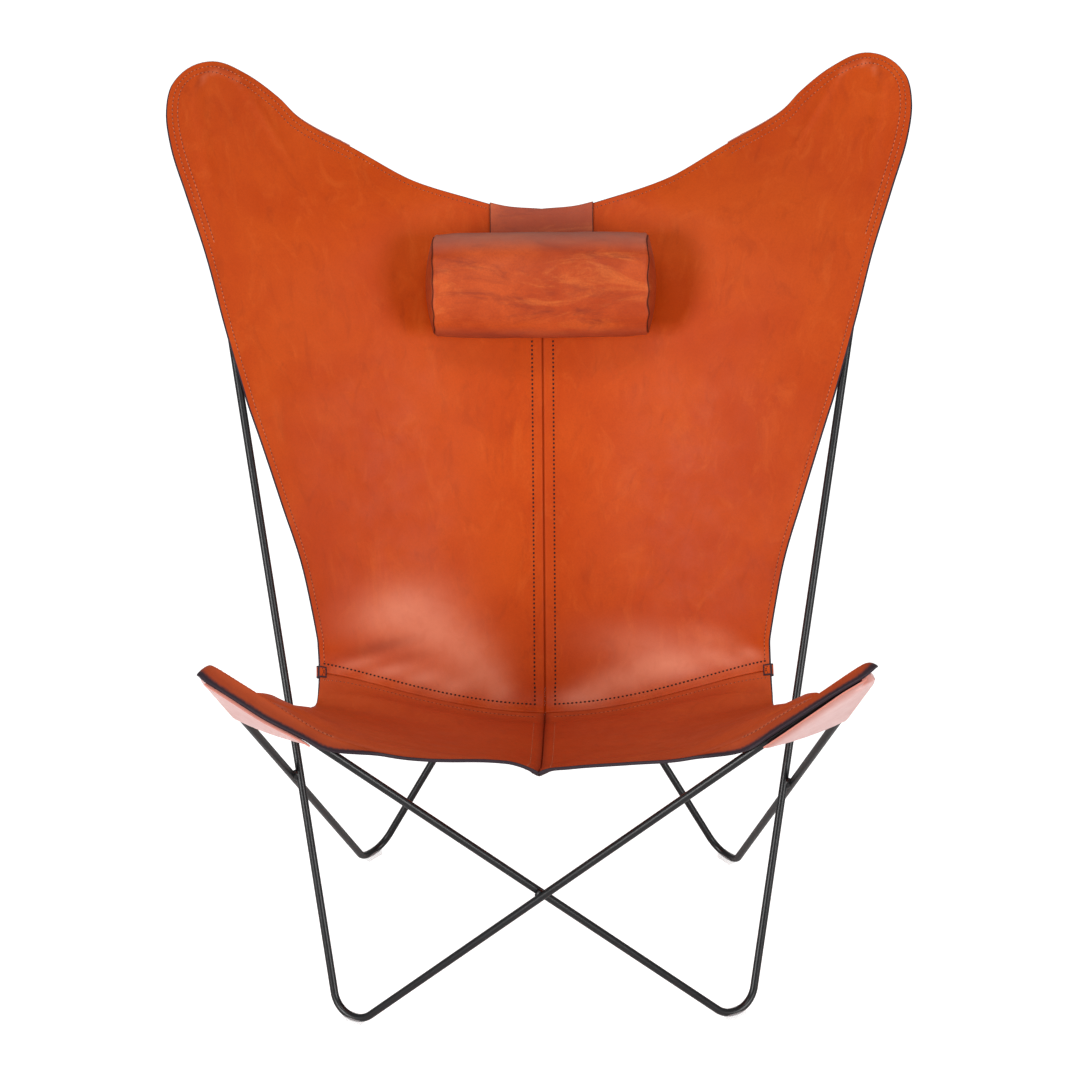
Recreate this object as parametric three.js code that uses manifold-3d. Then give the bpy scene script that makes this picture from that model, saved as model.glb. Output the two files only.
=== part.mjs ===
import * as THREE from 'three';
import Module from 'manifold-3d';

// Butterfly sling chair with a neck cushion, in millimetres, +Z up, the sitter facing -Y.
// It is drawn from a point on the floor midway between the front feet, and at the end moved so that the origin
// is under its middle. Spans, reaches and rises of the frame are those of the corners where the rod's straight
// centre lines would meet.

// Frame of two bent rod loops
const rodDiameter = 10;
const bendRadius = 34;
const hornBendRadius = 22;
const frontFootSpan = 516;
const rearFootSpan = 514;
const footDepth = 382;
const hornSpan = 758;
const hornReach = 124;
const hornRise = 577;
const earSpan = 916;
const earReach = 549;
const earRise = 1195;
const weldRadius = 7.5;
const fitGap = 0.3;

// Floor glides
const glideFloor = 2;
const glideWall = 2.5;
const glideLength = 26;
const glideHug = 1.5;

// Sling leather
const leather = 4;
const skinEase = 0.5;
const pocketLeather = 2.4;
const stripLeather = 2.4;
const waistRise = 372;
const waistDepth = 264;
const waistFlare = 3.5;
const earOverhang = 32;
const earCrown = 42;
const necklineRise = 893;
const necklineInset = 1;
const creaseRise = 264;
const creaseDepth = 298;
const seatFrontRise = 400;
const seatFrontReach = 45;
const seatValley = 12;
const seatValleyRun = 18;
const seatWingRise = 144;
const seatWingPower = 2;
const creaseWingPower = 1.85;
const seatFrontSag = 11;
const hemRun = 38;
const sideRowRise = 363.6;
const sideRowDepth = 217.9;
const earPocketDepth = 127;
const hornPocketDepth = 165;
const hornOverhang = 24;
const hornTipWidth = 12;
const hornEaseOut = 1.3;
const hornPocketSag = 2.5;
const pocketEase = 2.4;
const hornPocketEase = 1.9;
const tipReach = 4;
const hornSeamReach = 0.9;
const pocketMouthEase = 12;
const seamFold = 12;
const hornSkirt = 15;
const centreStripWidth = 36;
const crossStripWidth = 34;
const stripNoseShare = 0.35;
const stripNoseRunShare = 0.12;
const tabLength = 16;
const tabReach = 13;
const tabBendShare = 0.4;
const tabLeather = 1.6;

// Neck cushion, strap and counterweight
const cushionWidth = 279;
const cushionHeight = 138;
const cushionDepth = 92;
const coverLeather = 1.8;
const endBulge = 9;
const cushionDrop = 29;
const strapWidth = 136;
const strapLeather = 1.8;
const strapHoldShare = 0.1;
const strapLeaveShare = 0.6;
const strapTuckShare = 0.1;
const pouchHeight = 150;
const pouchDepth = 20;
const pouchWidth = 128;
const pouchDrop = 168;
const weightThickness = 9;
const weightWidthShare = 0.38;
const weightHeightShare = 0.72;
const pouchEdgeShare = 0.12;
const cushionDrawIn = 0.05;
const slideDown = 120;
const slideUp = 15;

// How finely the round and curved shapes are divided
const rodSides = 12;
const bendSteps = 7;
const outlineSteps = 4;
const cushionSides = 28;

const rodRadius = rodDiameter / 2;
const necklineDepth = earReach - necklineInset;
const rodClear = rodRadius + fitGap;
const skinOffset = rodClear + skinEase + leather / 2;
const up = new THREE.Vector3(0, 0, 1);

const rodPaint = new THREE.MeshStandardMaterial({ color: 0x2d2d30, roughness: 0.42, metalness: 0.25 });
const clearPlastic = new THREE.MeshStandardMaterial({ color: 0xd9dcdd, roughness: 0.25, metalness: 0 });
const slingLeather = new THREE.MeshStandardMaterial({ color: 0xc5542a, roughness: 0.5, metalness: 0 });
const rawLeather = new THREE.MeshStandardMaterial({ color: 0xc98d6c, roughness: 0.85, metalness: 0 });
const cushionLeather = new THREE.MeshStandardMaterial({ color: 0xb9573a, roughness: 0.6, metalness: 0 });
const foam = new THREE.MeshStandardMaterial({ color: 0xe8dfc8, roughness: 0.95, metalness: 0 });
const steel = new THREE.MeshStandardMaterial({ color: 0x8f9296, roughness: 0.4, metalness: 0.9 });

const wasm = await Module();
wasm.setup();

const chair = new THREE.Group();
const vec = (x, y, z) => new THREE.Vector3(x, y, z);
const mixPoint = (a, b, t) => a.clone().lerp(b, t);
const smooth = (low, high, value) => THREE.MathUtils.smoothstep(value, low, high);

function addPiece(name, geometry, material) {
  geometry.computeVertexNormals();
  const mesh = new THREE.Mesh(geometry, material);
  mesh.name = name;
  chair.add(mesh);
  return mesh;
}

// Vertices and triangles as a geometry
function meshGeometry(points, faces) {
  const geometry = new THREE.BufferGeometry();
  const positions = points.flatMap((p) => [p.x, p.y, p.z]);
  geometry.setAttribute('position', new THREE.Float32BufferAttribute(positions, 3));
  geometry.setIndex(faces);
  return geometry;
}

function toManifold(points, faces) {
  return new wasm.Manifold(new wasm.Mesh({
    numProp: 3,
    vertProperties: Float32Array.from(points.flatMap((p) => [p.x, p.y, p.z])),
    triVerts: Uint32Array.from(faces),
  }));
}

function fromManifold(solid) {
  const mesh = solid.getMesh();
  const points = [];
  for (let i = 0; i < mesh.vertProperties.length; i += mesh.numProp) {
    points.push(vec(mesh.vertProperties[i], mesh.vertProperties[i + 1], mesh.vertProperties[i + 2]));
  }
  return meshGeometry(points, Array.from(mesh.triVerts));
}

// Corner bend between two straight runs that would meet at corner
function bendAt(corner, from, to, radius) {
  const a = from.clone().sub(corner).normalize();
  const b = to.clone().sub(corner).normalize();
  const half = Math.acos(THREE.MathUtils.clamp(a.dot(b), -1, 1)) / 2;
  const inward = a.clone().add(b).normalize();
  const centre = corner.clone().addScaledVector(inward, radius / Math.sin(half));
  const start = corner.clone().addScaledVector(a, radius / Math.tan(half));
  const end = corner.clone().addScaledVector(b, radius / Math.tan(half));
  const normal = a.clone().cross(b).normalize();
  const lowest = centre.z - radius * Math.sqrt(1 - normal.z * normal.z);
  return { corner, centre, start, end, normal, inward, radius, lowest, sweep: Math.PI - 2 * half };
}

// Signed gap between two straight lines along their common normal, and how far along the second it lies
function lineGap(a, b, c, d) {
  const u = b.clone().sub(a);
  const v = d.clone().sub(c);
  const normal = u.clone().cross(v).normalize();
  const w = c.clone().sub(a);
  const along = w.clone().cross(u).dot(normal) / u.clone().cross(v).dot(normal);
  return { gap: w.dot(normal), normal, along };
}

// The two loops pass each other at four welded crossings, the loop with the left ear in front
const touching = rodDiameter + fitGap;
const frontStagger = touching * Math.hypot(hornRise, hornReach) / hornRise / 2;
const rearStagger = touching * Math.hypot(earRise, earReach - footDepth) / earRise / 2;

function loopCorners(side) {
  const shift = side;
  return {
    side,
    foot: vec(side * frontFootSpan / 2, shift * frontStagger, 0),
    horn: vec(-side * hornSpan / 2, -hornReach + shift * frontStagger, hornRise),
    rear: vec(-side * rearFootSpan / 2, footDepth + shift * rearStagger, 0),
    ear: vec(side * earSpan / 2, earReach + shift * rearStagger, earRise),
  };
}

const loops = { left: loopCorners(-1), right: loopCorners(1) };
const rodFloor = glideFloor + fitGap + rodRadius;

// Feet are set to the floor, and each rear foot to where its rod touches the other loop's leg
for (let pass = 0; pass < 8; pass += 1) {
  for (const [loop, other] of [[loops.left, loops.right], [loops.right, loops.left]]) {
    loop.foot.z += rodFloor - bendAt(loop.foot, loop.ear, loop.horn, bendRadius).lowest;
    loop.rear.z += rodFloor - bendAt(loop.rear, loop.horn, loop.ear, bendRadius).lowest;
    const near = lineGap(other.foot, other.ear, loop.horn, loop.rear);
    const outwardGap = -loop.side * Math.sign(near.normal.x) * near.gap;
    loop.rear.x -= loop.side * (touching - outwardGap) / (near.along * Math.abs(near.normal.x));
  }
}

// Stations round one loop: each a point with the rod's direction there
function loopStations(loop) {
  const bends = [
    bendAt(loop.foot, loop.ear, loop.horn, bendRadius),
    bendAt(loop.horn, loop.foot, loop.rear, hornBendRadius),
    bendAt(loop.rear, loop.horn, loop.ear, bendRadius),
    bendAt(loop.ear, loop.rear, loop.foot, bendRadius),
  ];
  const stations = [];
  for (const bend of bends) {
    const spoke = bend.start.clone().sub(bend.centre);
    const heading = bend.corner.clone().sub(bend.start).normalize();
    const axis = spoke.clone().cross(heading).normalize();
    for (let i = 0; i <= bendSteps; i += 1) {
      const turn = bend.sweep * i / bendSteps;
      stations.push({
        point: spoke.clone().applyAxisAngle(axis, turn).add(bend.centre),
        heading: heading.clone().applyAxisAngle(axis, turn),
      });
    }
  }
  return { stations, bends };
}

// Round rod swept along stations; a closed loop spreads its leftover twist evenly
function sweepRod(stations, radius, sides, closed) {
  const first = stations[0].heading;
  const frames = [];
  let across = up.clone().cross(first).normalize();
  let last = first;
  for (const station of stations) {
    const roll = new THREE.Quaternion().setFromUnitVectors(last, station.heading);
    across = across.clone().applyQuaternion(roll);
    frames.push({ across, point: station.point, heading: station.heading });
    last = station.heading;
  }
  let twist = 0;
  if (closed) {
    const back = across.clone().applyQuaternion(new THREE.Quaternion().setFromUnitVectors(last, first));
    twist = Math.atan2(back.clone().cross(frames[0].across).dot(first), back.dot(frames[0].across));
  }
  const points = [];
  frames.forEach((frame, ring) => {
    const lead = frame.across.clone().applyAxisAngle(frame.heading, twist * ring / frames.length);
    for (let i = 0; i < sides; i += 1) {
      const spoke = lead.clone().applyAxisAngle(frame.heading, 2 * Math.PI * i / sides);
      points.push(frame.point.clone().addScaledVector(spoke, radius));
    }
  });
  const faces = [];
  const rings = frames.length;
  const lastRing = closed ? rings : rings - 1;
  for (let ring = 0; ring < lastRing; ring += 1) {
    const here = ring * sides;
    const there = ((ring + 1) % rings) * sides;
    for (let i = 0; i < sides; i += 1) {
      const j = (i + 1) % sides;
      faces.push(here + i, here + j, there + j, here + i, there + j, there + i);
    }
  }
  return { points, faces };
}

// A sweep's radius is set so that its flats, not its corners, lie at the wanted distance
const outside = (radius, sides) => radius / Math.cos(Math.PI / sides);

const rodSolids = [];
for (const [name, loop] of Object.entries(loops)) {
  const { stations, bends } = loopStations(loop);
  loop.bends = { foot: bends[0], horn: bends[1], rear: bends[2], ear: bends[3] };
  const rod = sweepRod(stations, rodRadius, rodSides, true);
  addPiece(`frame_loop_${name}_ear`, meshGeometry(rod.points, rod.faces), rodPaint);
  const clear = sweepRod(stations, outside(rodClear, rodSides), rodSides, true);
  rodSolids.push(toManifold(clear.points, clear.faces));
}

// Weld bead: a small ball at a crossing with both rods cut out of it
function addWeld(name, a, b, c, d) {
  const { gap, normal, along } = lineGap(a, b, c, d);
  const second = mixPoint(c, d, along);
  const centre = second.clone().addScaledVector(normal, -gap / 2);
  const ball = new THREE.IcosahedronGeometry(weldRadius, 3);
  ball.translate(centre.x, centre.y, centre.z);
  const merged = mergeGeometry(ball);
  const solid = toManifold(merged.points, merged.faces).subtract(rodSolids[0]).subtract(rodSolids[1]);
  addPiece(name, fromManifold(solid), rodPaint);
}

// Shared corners of a three.js geometry merged by position
function mergeGeometry(geometry) {
  const source = geometry.getAttribute('position');
  const seen = new Map();
  const points = [];
  const order = [];
  for (let i = 0; i < source.count; i += 1) {
    const p = vec(source.getX(i), source.getY(i), source.getZ(i));
    const key = `${p.x.toFixed(4)},${p.y.toFixed(4)},${p.z.toFixed(4)}`;
    if (!seen.has(key)) {
      seen.set(key, points.length);
      points.push(p);
    }
    order.push(seen.get(key));
  }
  const index = geometry.getIndex();
  const corners = index ? Array.from(index.array, (i) => order[i]) : order;
  const faces = [];
  for (let i = 0; i < corners.length; i += 3) {
    const [a, b, c] = corners.slice(i, i + 3);
    if (a !== b && b !== c && c !== a) faces.push(a, b, c);
  }
  return { points, faces };
}

const { left, right } = loops;
addWeld('weld_front', left.foot, left.horn, right.foot, right.horn);
addWeld('weld_rear', left.rear, left.ear, right.rear, right.ear);
addWeld('weld_left', left.foot, left.ear, right.rear, right.horn);
addWeld('weld_right', right.foot, right.ear, left.rear, left.horn);

// Floor glide: a block under the lowest point of a foot bend, with the rod's groove cut out of its top
function addGlide(name, bend) {
  const flat = vec(bend.normal.x, bend.normal.y, 0).normalize();
  const along = vec(-flat.y, flat.x, 0);
  const drop = up.clone().addScaledVector(bend.normal, -bend.normal.z).normalize();
  const lowest = bend.centre.clone().addScaledVector(drop, -bend.radius);
  const height = rodFloor + glideHug;
  const width = rodDiameter + 2 * (fitGap + glideWall);
  const block = new THREE.BoxGeometry(glideLength, width, height);
  block.rotateZ(Math.atan2(along.y, along.x));
  block.translate(lowest.x, lowest.y, height / 2);
  const merged = mergeGeometry(block);
  const solid = toManifold(merged.points, merged.faces).subtract(rodSolids[0]).subtract(rodSolids[1]);
  addPiece(name, fromManifold(solid), clearPlastic);
}

addGlide('glide_front_left', left.bends.foot);
addGlide('glide_front_right', right.bends.foot);
addGlide('glide_rear_left', right.bends.rear);
addGlide('glide_rear_right', left.bends.rear);

// One side of the sling is worked out with x counted outward from the middle; side is -1 left, 1 right
function mirrored(point, side) {
  return vec(point.x * side, point.y, point.z);
}

function sideFrame(side) {
  const own = side < 0 ? left : right;
  const other = side < 0 ? right : left;
  const ear = own.bends.ear;
  const horn = other.bends.horn;
  const earNormal = mirrored(ear.normal, side);
  if (earNormal.y > 0) earNormal.negate();
  const hornNormal = mirrored(horn.normal, side);
  if (hornNormal.z < 0) hornNormal.negate();
  return {
    side,
    legFoot: mirrored(own.foot, side),
    ear: mirrored(own.ear, side),
    rearOfEar: mirrored(own.rear, side),
    earCentre: mirrored(ear.centre, side),
    earInward: mirrored(ear.inward, side),
    earNormal,
    horn: mirrored(other.horn, side),
    hornFoot: mirrored(other.foot, side),
    hornRear: mirrored(other.rear, side),
    hornCentre: mirrored(horn.centre, side),
    hornInward: mirrored(horn.inward, side),
    hornNormal,
  };
}

// Smooth curve through shares of named sizes, read by height or by any first value
function shareCurve(shares) {
  const curve = new THREE.CatmullRomCurve3(shares.map(([a, b]) => vec(a, b, 0)), false, 'centripetal');
  const samples = curve.getPoints(shares.length * 24);
  return (value) => {
    if (value <= samples[0].x) return samples[0].y;
    for (let i = 1; i < samples.length; i += 1) {
      if (value <= samples[i].x) {
        const span = samples[i].x - samples[i - 1].x;
        const t = span > 0 ? (value - samples[i - 1].x) / span : 1;
        return THREE.MathUtils.lerp(samples[i - 1].y, samples[i].y, t);
      }
    }
    return samples[samples.length - 1].y;
  };
}

// Back, in half coordinates: how far the edge stands out from the leg, by share of the height over the waist
const edgeOverhangShares = shareCurve([
  [-0.2, -0.62], [-0.08, -0.74], [0, -0.87], [0.05, -1.07], [0.11, -1.09], [0.175, -1.06], [0.245, -0.9],
  [0.31, -0.72], [0.38, -0.52], [0.45, -0.31], [0.5, -0.14], [0.56, 0.01], [0.61, 0.17], [0.68, 0.32],
  [0.74, 0.49], [0.8, 0.72], [0.855, 0.91], [0.895, 1.01], [0.94, 0.95],
]);
// Depth of the middle of the back behind the crease, as a share of the neckline's, by share of its height
const backCurveShares = shareCurve([
  [-0.1, -0.17], [0, 0], [0.145, 0.19], [0.34, 0.39], [0.53, 0.57], [0.72, 0.735], [0.96, 0.965], [1, 1],
  [1.1, 1.14], [1.17, 1.27], [1.26, 1.4], [1.34, 1.5], [1.5, 1.7],
]);
// Depth of the side edge between the waist and where it meets the leg, as shares of both ways
const edgeDepthShares = shareCurve([
  [-0.2, -0.1], [0, 0], [0.12, 0.08], [0.23, 0.19], [0.38, 0.36], [0.55, 0.51], [0.7, 0.67], [0.84, 0.82],
  [1, 1], [1.2, 1.2],
]);

const legReturnShare = 0.46;

function slingSide(side) {
  const frame = sideFrame(side);
  const earTop = frame.earCentre.z + earCrown;
  const legRise = frame.ear.z - frame.legFoot.z;
  const legAt = (z) => mixPoint(frame.legFoot, frame.ear, (z - frame.legFoot.z) / legRise);
  const planeDepth = (x, z) => {
    const c = frame.earCentre;
    const n = frame.earNormal;
    return c.y + (skinOffset - n.x * (x - c.x) - n.z * (z - c.z)) / n.y;
  };
  const heightShare = (z) => (z - waistRise) / (earTop - waistRise);
  const edgeX = (z) => legAt(z).x + edgeOverhangShares(heightShare(z)) * earOverhang;
  const returnRise = THREE.MathUtils.lerp(waistRise, earTop, legReturnShare);
  const returnDepth = planeDepth(edgeX(returnRise), returnRise);
  const edgeY = (z) => {
    if (z > returnRise) return planeDepth(edgeX(z), z);
    const t = edgeDepthShares((z - waistRise) / (returnRise - waistRise));
    return THREE.MathUtils.lerp(waistDepth, returnDepth, t);
  };
  const middleY = (z) => {
    const t = backCurveShares((z - creaseRise) / (necklineRise - creaseRise));
    return THREE.MathUtils.lerp(creaseDepth, necklineDepth, t);
  };
  // Distance below the ear's bend centre along the ear
  const earWay = new THREE.Vector2(frame.earInward.x, frame.earInward.z).normalize();
  const belowEar = (x, z) => (x - frame.earCentre.x) * earWay.x + (z - frame.earCentre.z) * earWay.y;
  const backDepth = (x, z) => {
    const edge = Math.min(z, earTop - earCrown);
    const out = edgeX(edge);
    const bucket = middleY(z) - (middleY(edge) - edgeY(edge)) * (x / out) ** 2;
    const flat = 1 - smooth(earPocketDepth - seamFold, 2 * earPocketDepth, belowEar(x, z));
    return THREE.MathUtils.lerp(bucket, planeDepth(x, z), flat);
  };
  return { frame, side, earTop, legAt, planeDepth, edgeX, edgeY, middleY, belowEar, backDepth };
}

// Seat, in half coordinates: drop of its middle line and rise of its sides, by share of the way to the crease
const seatDropShares = shareCurve([
  [-0.4, -0.44], [-0.2, -0.25], [0, 0], [0.035, 0.06], [0.113, 0.17], [0.275, 0.385], [0.478, 0.59],
  [0.73, 0.765], [0.89, 0.885], [1, 1], [1.2, 1.25],
]);
const seatWingShares = shareCurve([
  [-0.4, 0.88], [-0.2, 0.9], [0, 0.93], [0.035, 0.97], [0.113, 1], [0.275, 0.96], [0.478, 0.78],
  [0.73, 0.52], [0.89, 0.85], [1, 0.93], [1.2, 1],
]);
// Sag of the front part between the middle and the horns, by share of the way out to the horn
const seatSagShares = shareCurve([
  [0, 0], [0.1, 0.03], [0.28, 0.35], [0.5, 1], [0.64, 0.8], [0.72, 0.35], [0.78, 0.06], [0.82, 0],
  [0.9, 0], [1, 0], [1.2, 0],
]);
// Neckline and ear top, as shares of the ear's half width and of its rise over the neckline
const necklineShares = [
  [0.1, 0.02], [0.2, 0.08], [0.38, 0.2], [0.56, 0.435], [0.67, 0.61], [0.72, 0.735], [0.805, 0.9],
  [0.885, 0.995], [0.945, 0.985],
];
const earCornerShares = [0.986, 0.905];
// Rows up the side edge: the first at the hem, the others as shares of the height over sideRowRise
const sideRowShares = [0, 0.05, 0.12, 0.2, 0.3, 0.4, 0.5, 0.6, 0.7, 0.8, 0.88, 0.935];
// Front edge from the middle to where it meets the rod, as shares of both ways
const frontEdgeShares = [[0, 0], [0.1, 0.02], [0.37, 0.15], [0.67, 0.42], [0.93, 0.8]];
// Where the front edge runs along the rod, as shares of the rod's straight run to the horn
const frontRodShares = [0.79, 0.85, 0.9];
// Shares of the way to the crease over which the valley, the sag and the wings' power change, and the skirt's
const valleyFadeShares = [0.1, 1.1];
const sagFadeShares = [0, 0.4];
const creasePowerShares = [0.5, 1];
const skirtEaseShares = [-0.16, 0.02];
// Rear edge of the horn, as shares of the waist's half width and of the way from the horn to sideRowDepth
const hornRearShares = [
  [1.22, 0.07], [1.173, 0.142], [1.096, 0.257], [1.018, 0.445], [0.962, 0.69], [0.98, 0.83],
];

function smoothMax(a, b, softness) {
  return (a + b + Math.hypot(a - b, softness)) / 2;
}

// Point at a share of a polyline's length
function alongLine(points, share) {
  const lengths = [0];
  for (let i = 1; i < points.length; i += 1) {
    lengths.push(lengths[i - 1] + points[i].distanceTo(points[i - 1]));
  }
  const target = share * lengths[lengths.length - 1];
  let i = 1;
  while (i < points.length - 1 && lengths[i] < target) i += 1;
  const t = (target - lengths[i - 1]) / (lengths[i] - lengths[i - 1]);
  return mixPoint(points[i - 1], points[i], t);
}

// Smooth line through points, with the index where each point lies on it
function smoothLine(points, steps) {
  const curve = new THREE.CatmullRomCurve3(points, false, 'centripetal');
  return curve.getPoints((points.length - 1) * steps);
}

// Patch between four boundary lines that meet at its corners
function coons(bottom, top, near, far) {
  return (u, v) => {
    const p = bottom(u).multiplyScalar(1 - v).addScaledVector(top(u), v);
    p.addScaledVector(near(v), 1 - u).addScaledVector(far(v), u);
    p.addScaledVector(bottom(0), -(1 - u) * (1 - v)).addScaledVector(bottom(1), -u * (1 - v));
    p.addScaledVector(top(0), -(1 - u) * v).addScaledVector(top(1), -u * v);
    return p;
  };
}

// Closed sheet of even thickness about a grid of points; fromSkin shifts it along the normals
function gridNormals(grid, flatStart) {
  return grid.map((row, i) => row.map((point, j) => {
    const a = row[Math.min(j + 1, row.length - 1)].clone().sub(row[Math.max(j - 1, 0)]);
    const b = grid[Math.min(i + 1, grid.length - 1)][j].clone().sub(grid[Math.max(i - 1, 0)][j]);
    const normal = a.cross(b);
    if (flatStart && j === 0) normal.x = 0;
    return normal.normalize();
  }));
}

function offsetGrid(grid, normals, distance) {
  return grid.map((row, i) => row.map((p, j) => p.clone().addScaledVector(normals[i][j], distance)));
}

function signedVolume(points, faces) {
  let volume = 0;
  for (let i = 0; i < faces.length; i += 3) {
    const [a, b, c] = [points[faces[i]], points[faces[i + 1]], points[faces[i + 2]]];
    volume += a.dot(b.clone().cross(c)) / 6;
  }
  return volume;
}

function closedBetween(gridA, gridB) {
  const rows = gridA.length;
  const columns = gridA[0].length;
  const points = [...gridA.flat(), ...gridB.flat()];
  const faces = [];
  const at = (i, j, layer) => layer * rows * columns + i * columns + j;
  const quad = (a, b, c, d) => faces.push(a, b, c, a, c, d);
  for (let i = 0; i < rows - 1; i += 1) {
    for (let j = 0; j < columns - 1; j += 1) {
      quad(at(i, j, 0), at(i, j + 1, 0), at(i + 1, j + 1, 0), at(i + 1, j, 0));
      quad(at(i, j, 1), at(i + 1, j, 1), at(i + 1, j + 1, 1), at(i, j + 1, 1));
    }
    quad(at(i, 0, 0), at(i + 1, 0, 0), at(i + 1, 0, 1), at(i, 0, 1));
    quad(at(i + 1, columns - 1, 0), at(i, columns - 1, 0), at(i, columns - 1, 1), at(i + 1, columns - 1, 1));
  }
  for (let j = 0; j < columns - 1; j += 1) {
    quad(at(0, j + 1, 0), at(0, j, 0), at(0, j, 1), at(0, j + 1, 1));
    quad(at(rows - 1, j, 0), at(rows - 1, j + 1, 0), at(rows - 1, j + 1, 1), at(rows - 1, j, 1));
  }
  if (signedVolume(points, faces) < 0) {
    for (let i = 0; i < faces.length; i += 3) [faces[i + 1], faces[i + 2]] = [faces[i + 2], faces[i + 1]];
  }
  return { points, faces };
}

function addSheet(name, grid, thickness, material, { shift = 0, flatStart = false } = {}) {
  const normals = gridNormals(grid, flatStart);
  const a = offsetGrid(grid, normals, shift + thickness / 2);
  const b = offsetGrid(grid, normals, shift - thickness / 2);
  const solid = closedBetween(a, b);
  return addPiece(name, meshGeometry(solid.points, solid.faces), material);
}

// The sling's skin on one side, in half coordinates: rows of points from the front edge to the neckline
function slingSkin(half) {
  const { frame, earTop, edgeX, backDepth, planeDepth, belowEar } = half;
  const h = frame.hornNormal;
  const hc = frame.hornCentre;
  const hornPlane = (x, y) => hc.z + (skinOffset - h.x * (x - hc.x) - h.y * (y - hc.y)) / h.z;
  const seatShare = (y) => (y + seatFrontReach) / (creaseDepth + seatFrontReach);
  const seatHeight = (x, y) => {
    const share = seatShare(y);
    const middle = THREE.MathUtils.lerp(seatFrontRise, creaseRise, seatDropShares(share));
    const out = x / frame.horn.x;
    const power = THREE.MathUtils.lerp(seatWingPower, creaseWingPower, smooth(...creasePowerShares, share));
    const wing = seatWingRise * seatWingShares(share) * out ** power;
    const sag = seatFrontSag * seatSagShares(out) * (1 - smooth(...sagFadeShares, share));
    const valley = seatValley * Math.exp(-x / seatValleyRun) * (1 - smooth(...valleyFadeShares, share));
    return smoothMax(middle + wing - sag, hornPlane(x, y), leather) - valley;
  };
  const seatPoint = (x, y) => vec(x, y, seatHeight(x, y));
  const backPoint = (x, z) => vec(x, backDepth(x, z), z);
  const seam = fitGap / 2;

  // Crease: where the seat's and the back's surfaces cross
  const waistHalf = edgeX(waistRise) + waistFlare;
  const creaseAt = (x) => {
    let y = creaseDepth;
    let z = creaseRise;
    for (let pass = 0; pass < 24; pass += 1) {
      z = seatHeight(x, y);
      y = backDepth(x, z);
    }
    return vec(x, y, z);
  };
  const crease = (u) => creaseAt(THREE.MathUtils.lerp(seam, waistHalf, u));
  const backHem = (u) => {
    const z = crease(u).z + hemRun;
    return vec(THREE.MathUtils.lerp(seam, edgeX(z), u), 0, z);
  };
  const seatHem = (u) => {
    const k = crease(u);
    return vec(k.x, k.y - hemRun, 0);
  };

  // Outline of the back in x and z
  const earHalf = edgeX(frame.earCentre.z);
  const earRiseOver = earTop - necklineRise;
  const hemEnd = backHem(1);
  const sidePoints = sideRowShares.map((share) => {
    const z = share > 0 ? THREE.MathUtils.lerp(sideRowRise, earTop, share) : hemEnd.z;
    return vec(edgeX(z), 0, z);
  });
  const cornerPoint = vec(earCornerShares[0] * earHalf, 0, necklineRise + earCornerShares[1] * earRiseOver);
  const topPoints = necklineShares.map(([a, b]) => vec(a * earHalf, 0, necklineRise + b * earRiseOver));
  const outlinePoints = [...sidePoints, cornerPoint, ...topPoints.reverse(), vec(seam, 0, necklineRise)];
  const outline = smoothLine(outlinePoints, outlineSteps);
  const cornerIndex = sidePoints.length * outlineSteps;
  const sideLine = outline.slice(0, cornerIndex + 1);
  const topLine = outline.slice(cornerIndex).reverse();
  const backPlan = coons(
    backHem,
    (u) => alongLine(topLine, u),
    (v) => vec(seam, 0, THREE.MathUtils.lerp(backHem(0).z, necklineRise, v)),
    (v) => alongLine(sideLine, v),
  );

  // Outline of the seat in x and y; by the horn it stands off the rod by the pocket's seam
  const rodStart = frame.hornFoot;
  const rodEnd = frame.horn;
  const rodWay = rodEnd.clone().sub(rodStart).normalize();
  const outward = rodWay.clone().cross(h).normalize();
  if (outward.y > 0) outward.negate();
  const frontSeamOut = rodClear + leather + pocketLeather + hornEaseOut;
  const onRod = (share) => mixPoint(rodStart, rodEnd, share)
    .addScaledVector(outward, frontSeamOut).addScaledVector(h, skinOffset);
  const meet = onRod(frontRodShares[0]);
  const frontPoints = frontEdgeShares.map(([a, b]) => vec(
    THREE.MathUtils.lerp(seam, meet.x, a),
    THREE.MathUtils.lerp(-seatFrontReach, meet.y, b),
    0,
  ));
  const rodPoints = frontRodShares.map(onRod);
  const tip = hc.clone().addScaledVector(frame.hornInward, -(hornBendRadius + hornOverhang))
    .addScaledVector(h, skinOffset);
  const flatPoint = (p) => vec(p.x, p.y, 0);
  const hemSide = seatHem(1);
  const rearPoints = hornRearShares.map(([a, b]) => vec(
    a * waistHalf,
    THREE.MathUtils.lerp(frame.horn.y, sideRowDepth, b),
    0,
  ));
  const tipShape = [tip.clone().addScaledVector(outward, hornTipWidth), tip].map(flatPoint);
  const seatLine = smoothLine([
    ...frontPoints, ...rodPoints.map(flatPoint), ...tipShape, ...rearPoints, hemSide,
  ], outlineSteps);
  const tipIndex = (frontPoints.length + rodPoints.length + tipShape.length - 1) * outlineSteps;
  const frontLine = seatLine.slice(0, tipIndex + 1);
  const rearLine = seatLine.slice(tipIndex);
  const seatPlan = coons(
    (u) => alongLine(frontLine, u),
    seatHem,
    (v) => vec(seam, THREE.MathUtils.lerp(-seatFrontReach, seatHem(0).y, v), 0),
    (v) => alongLine(rearLine, v),
  );

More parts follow.
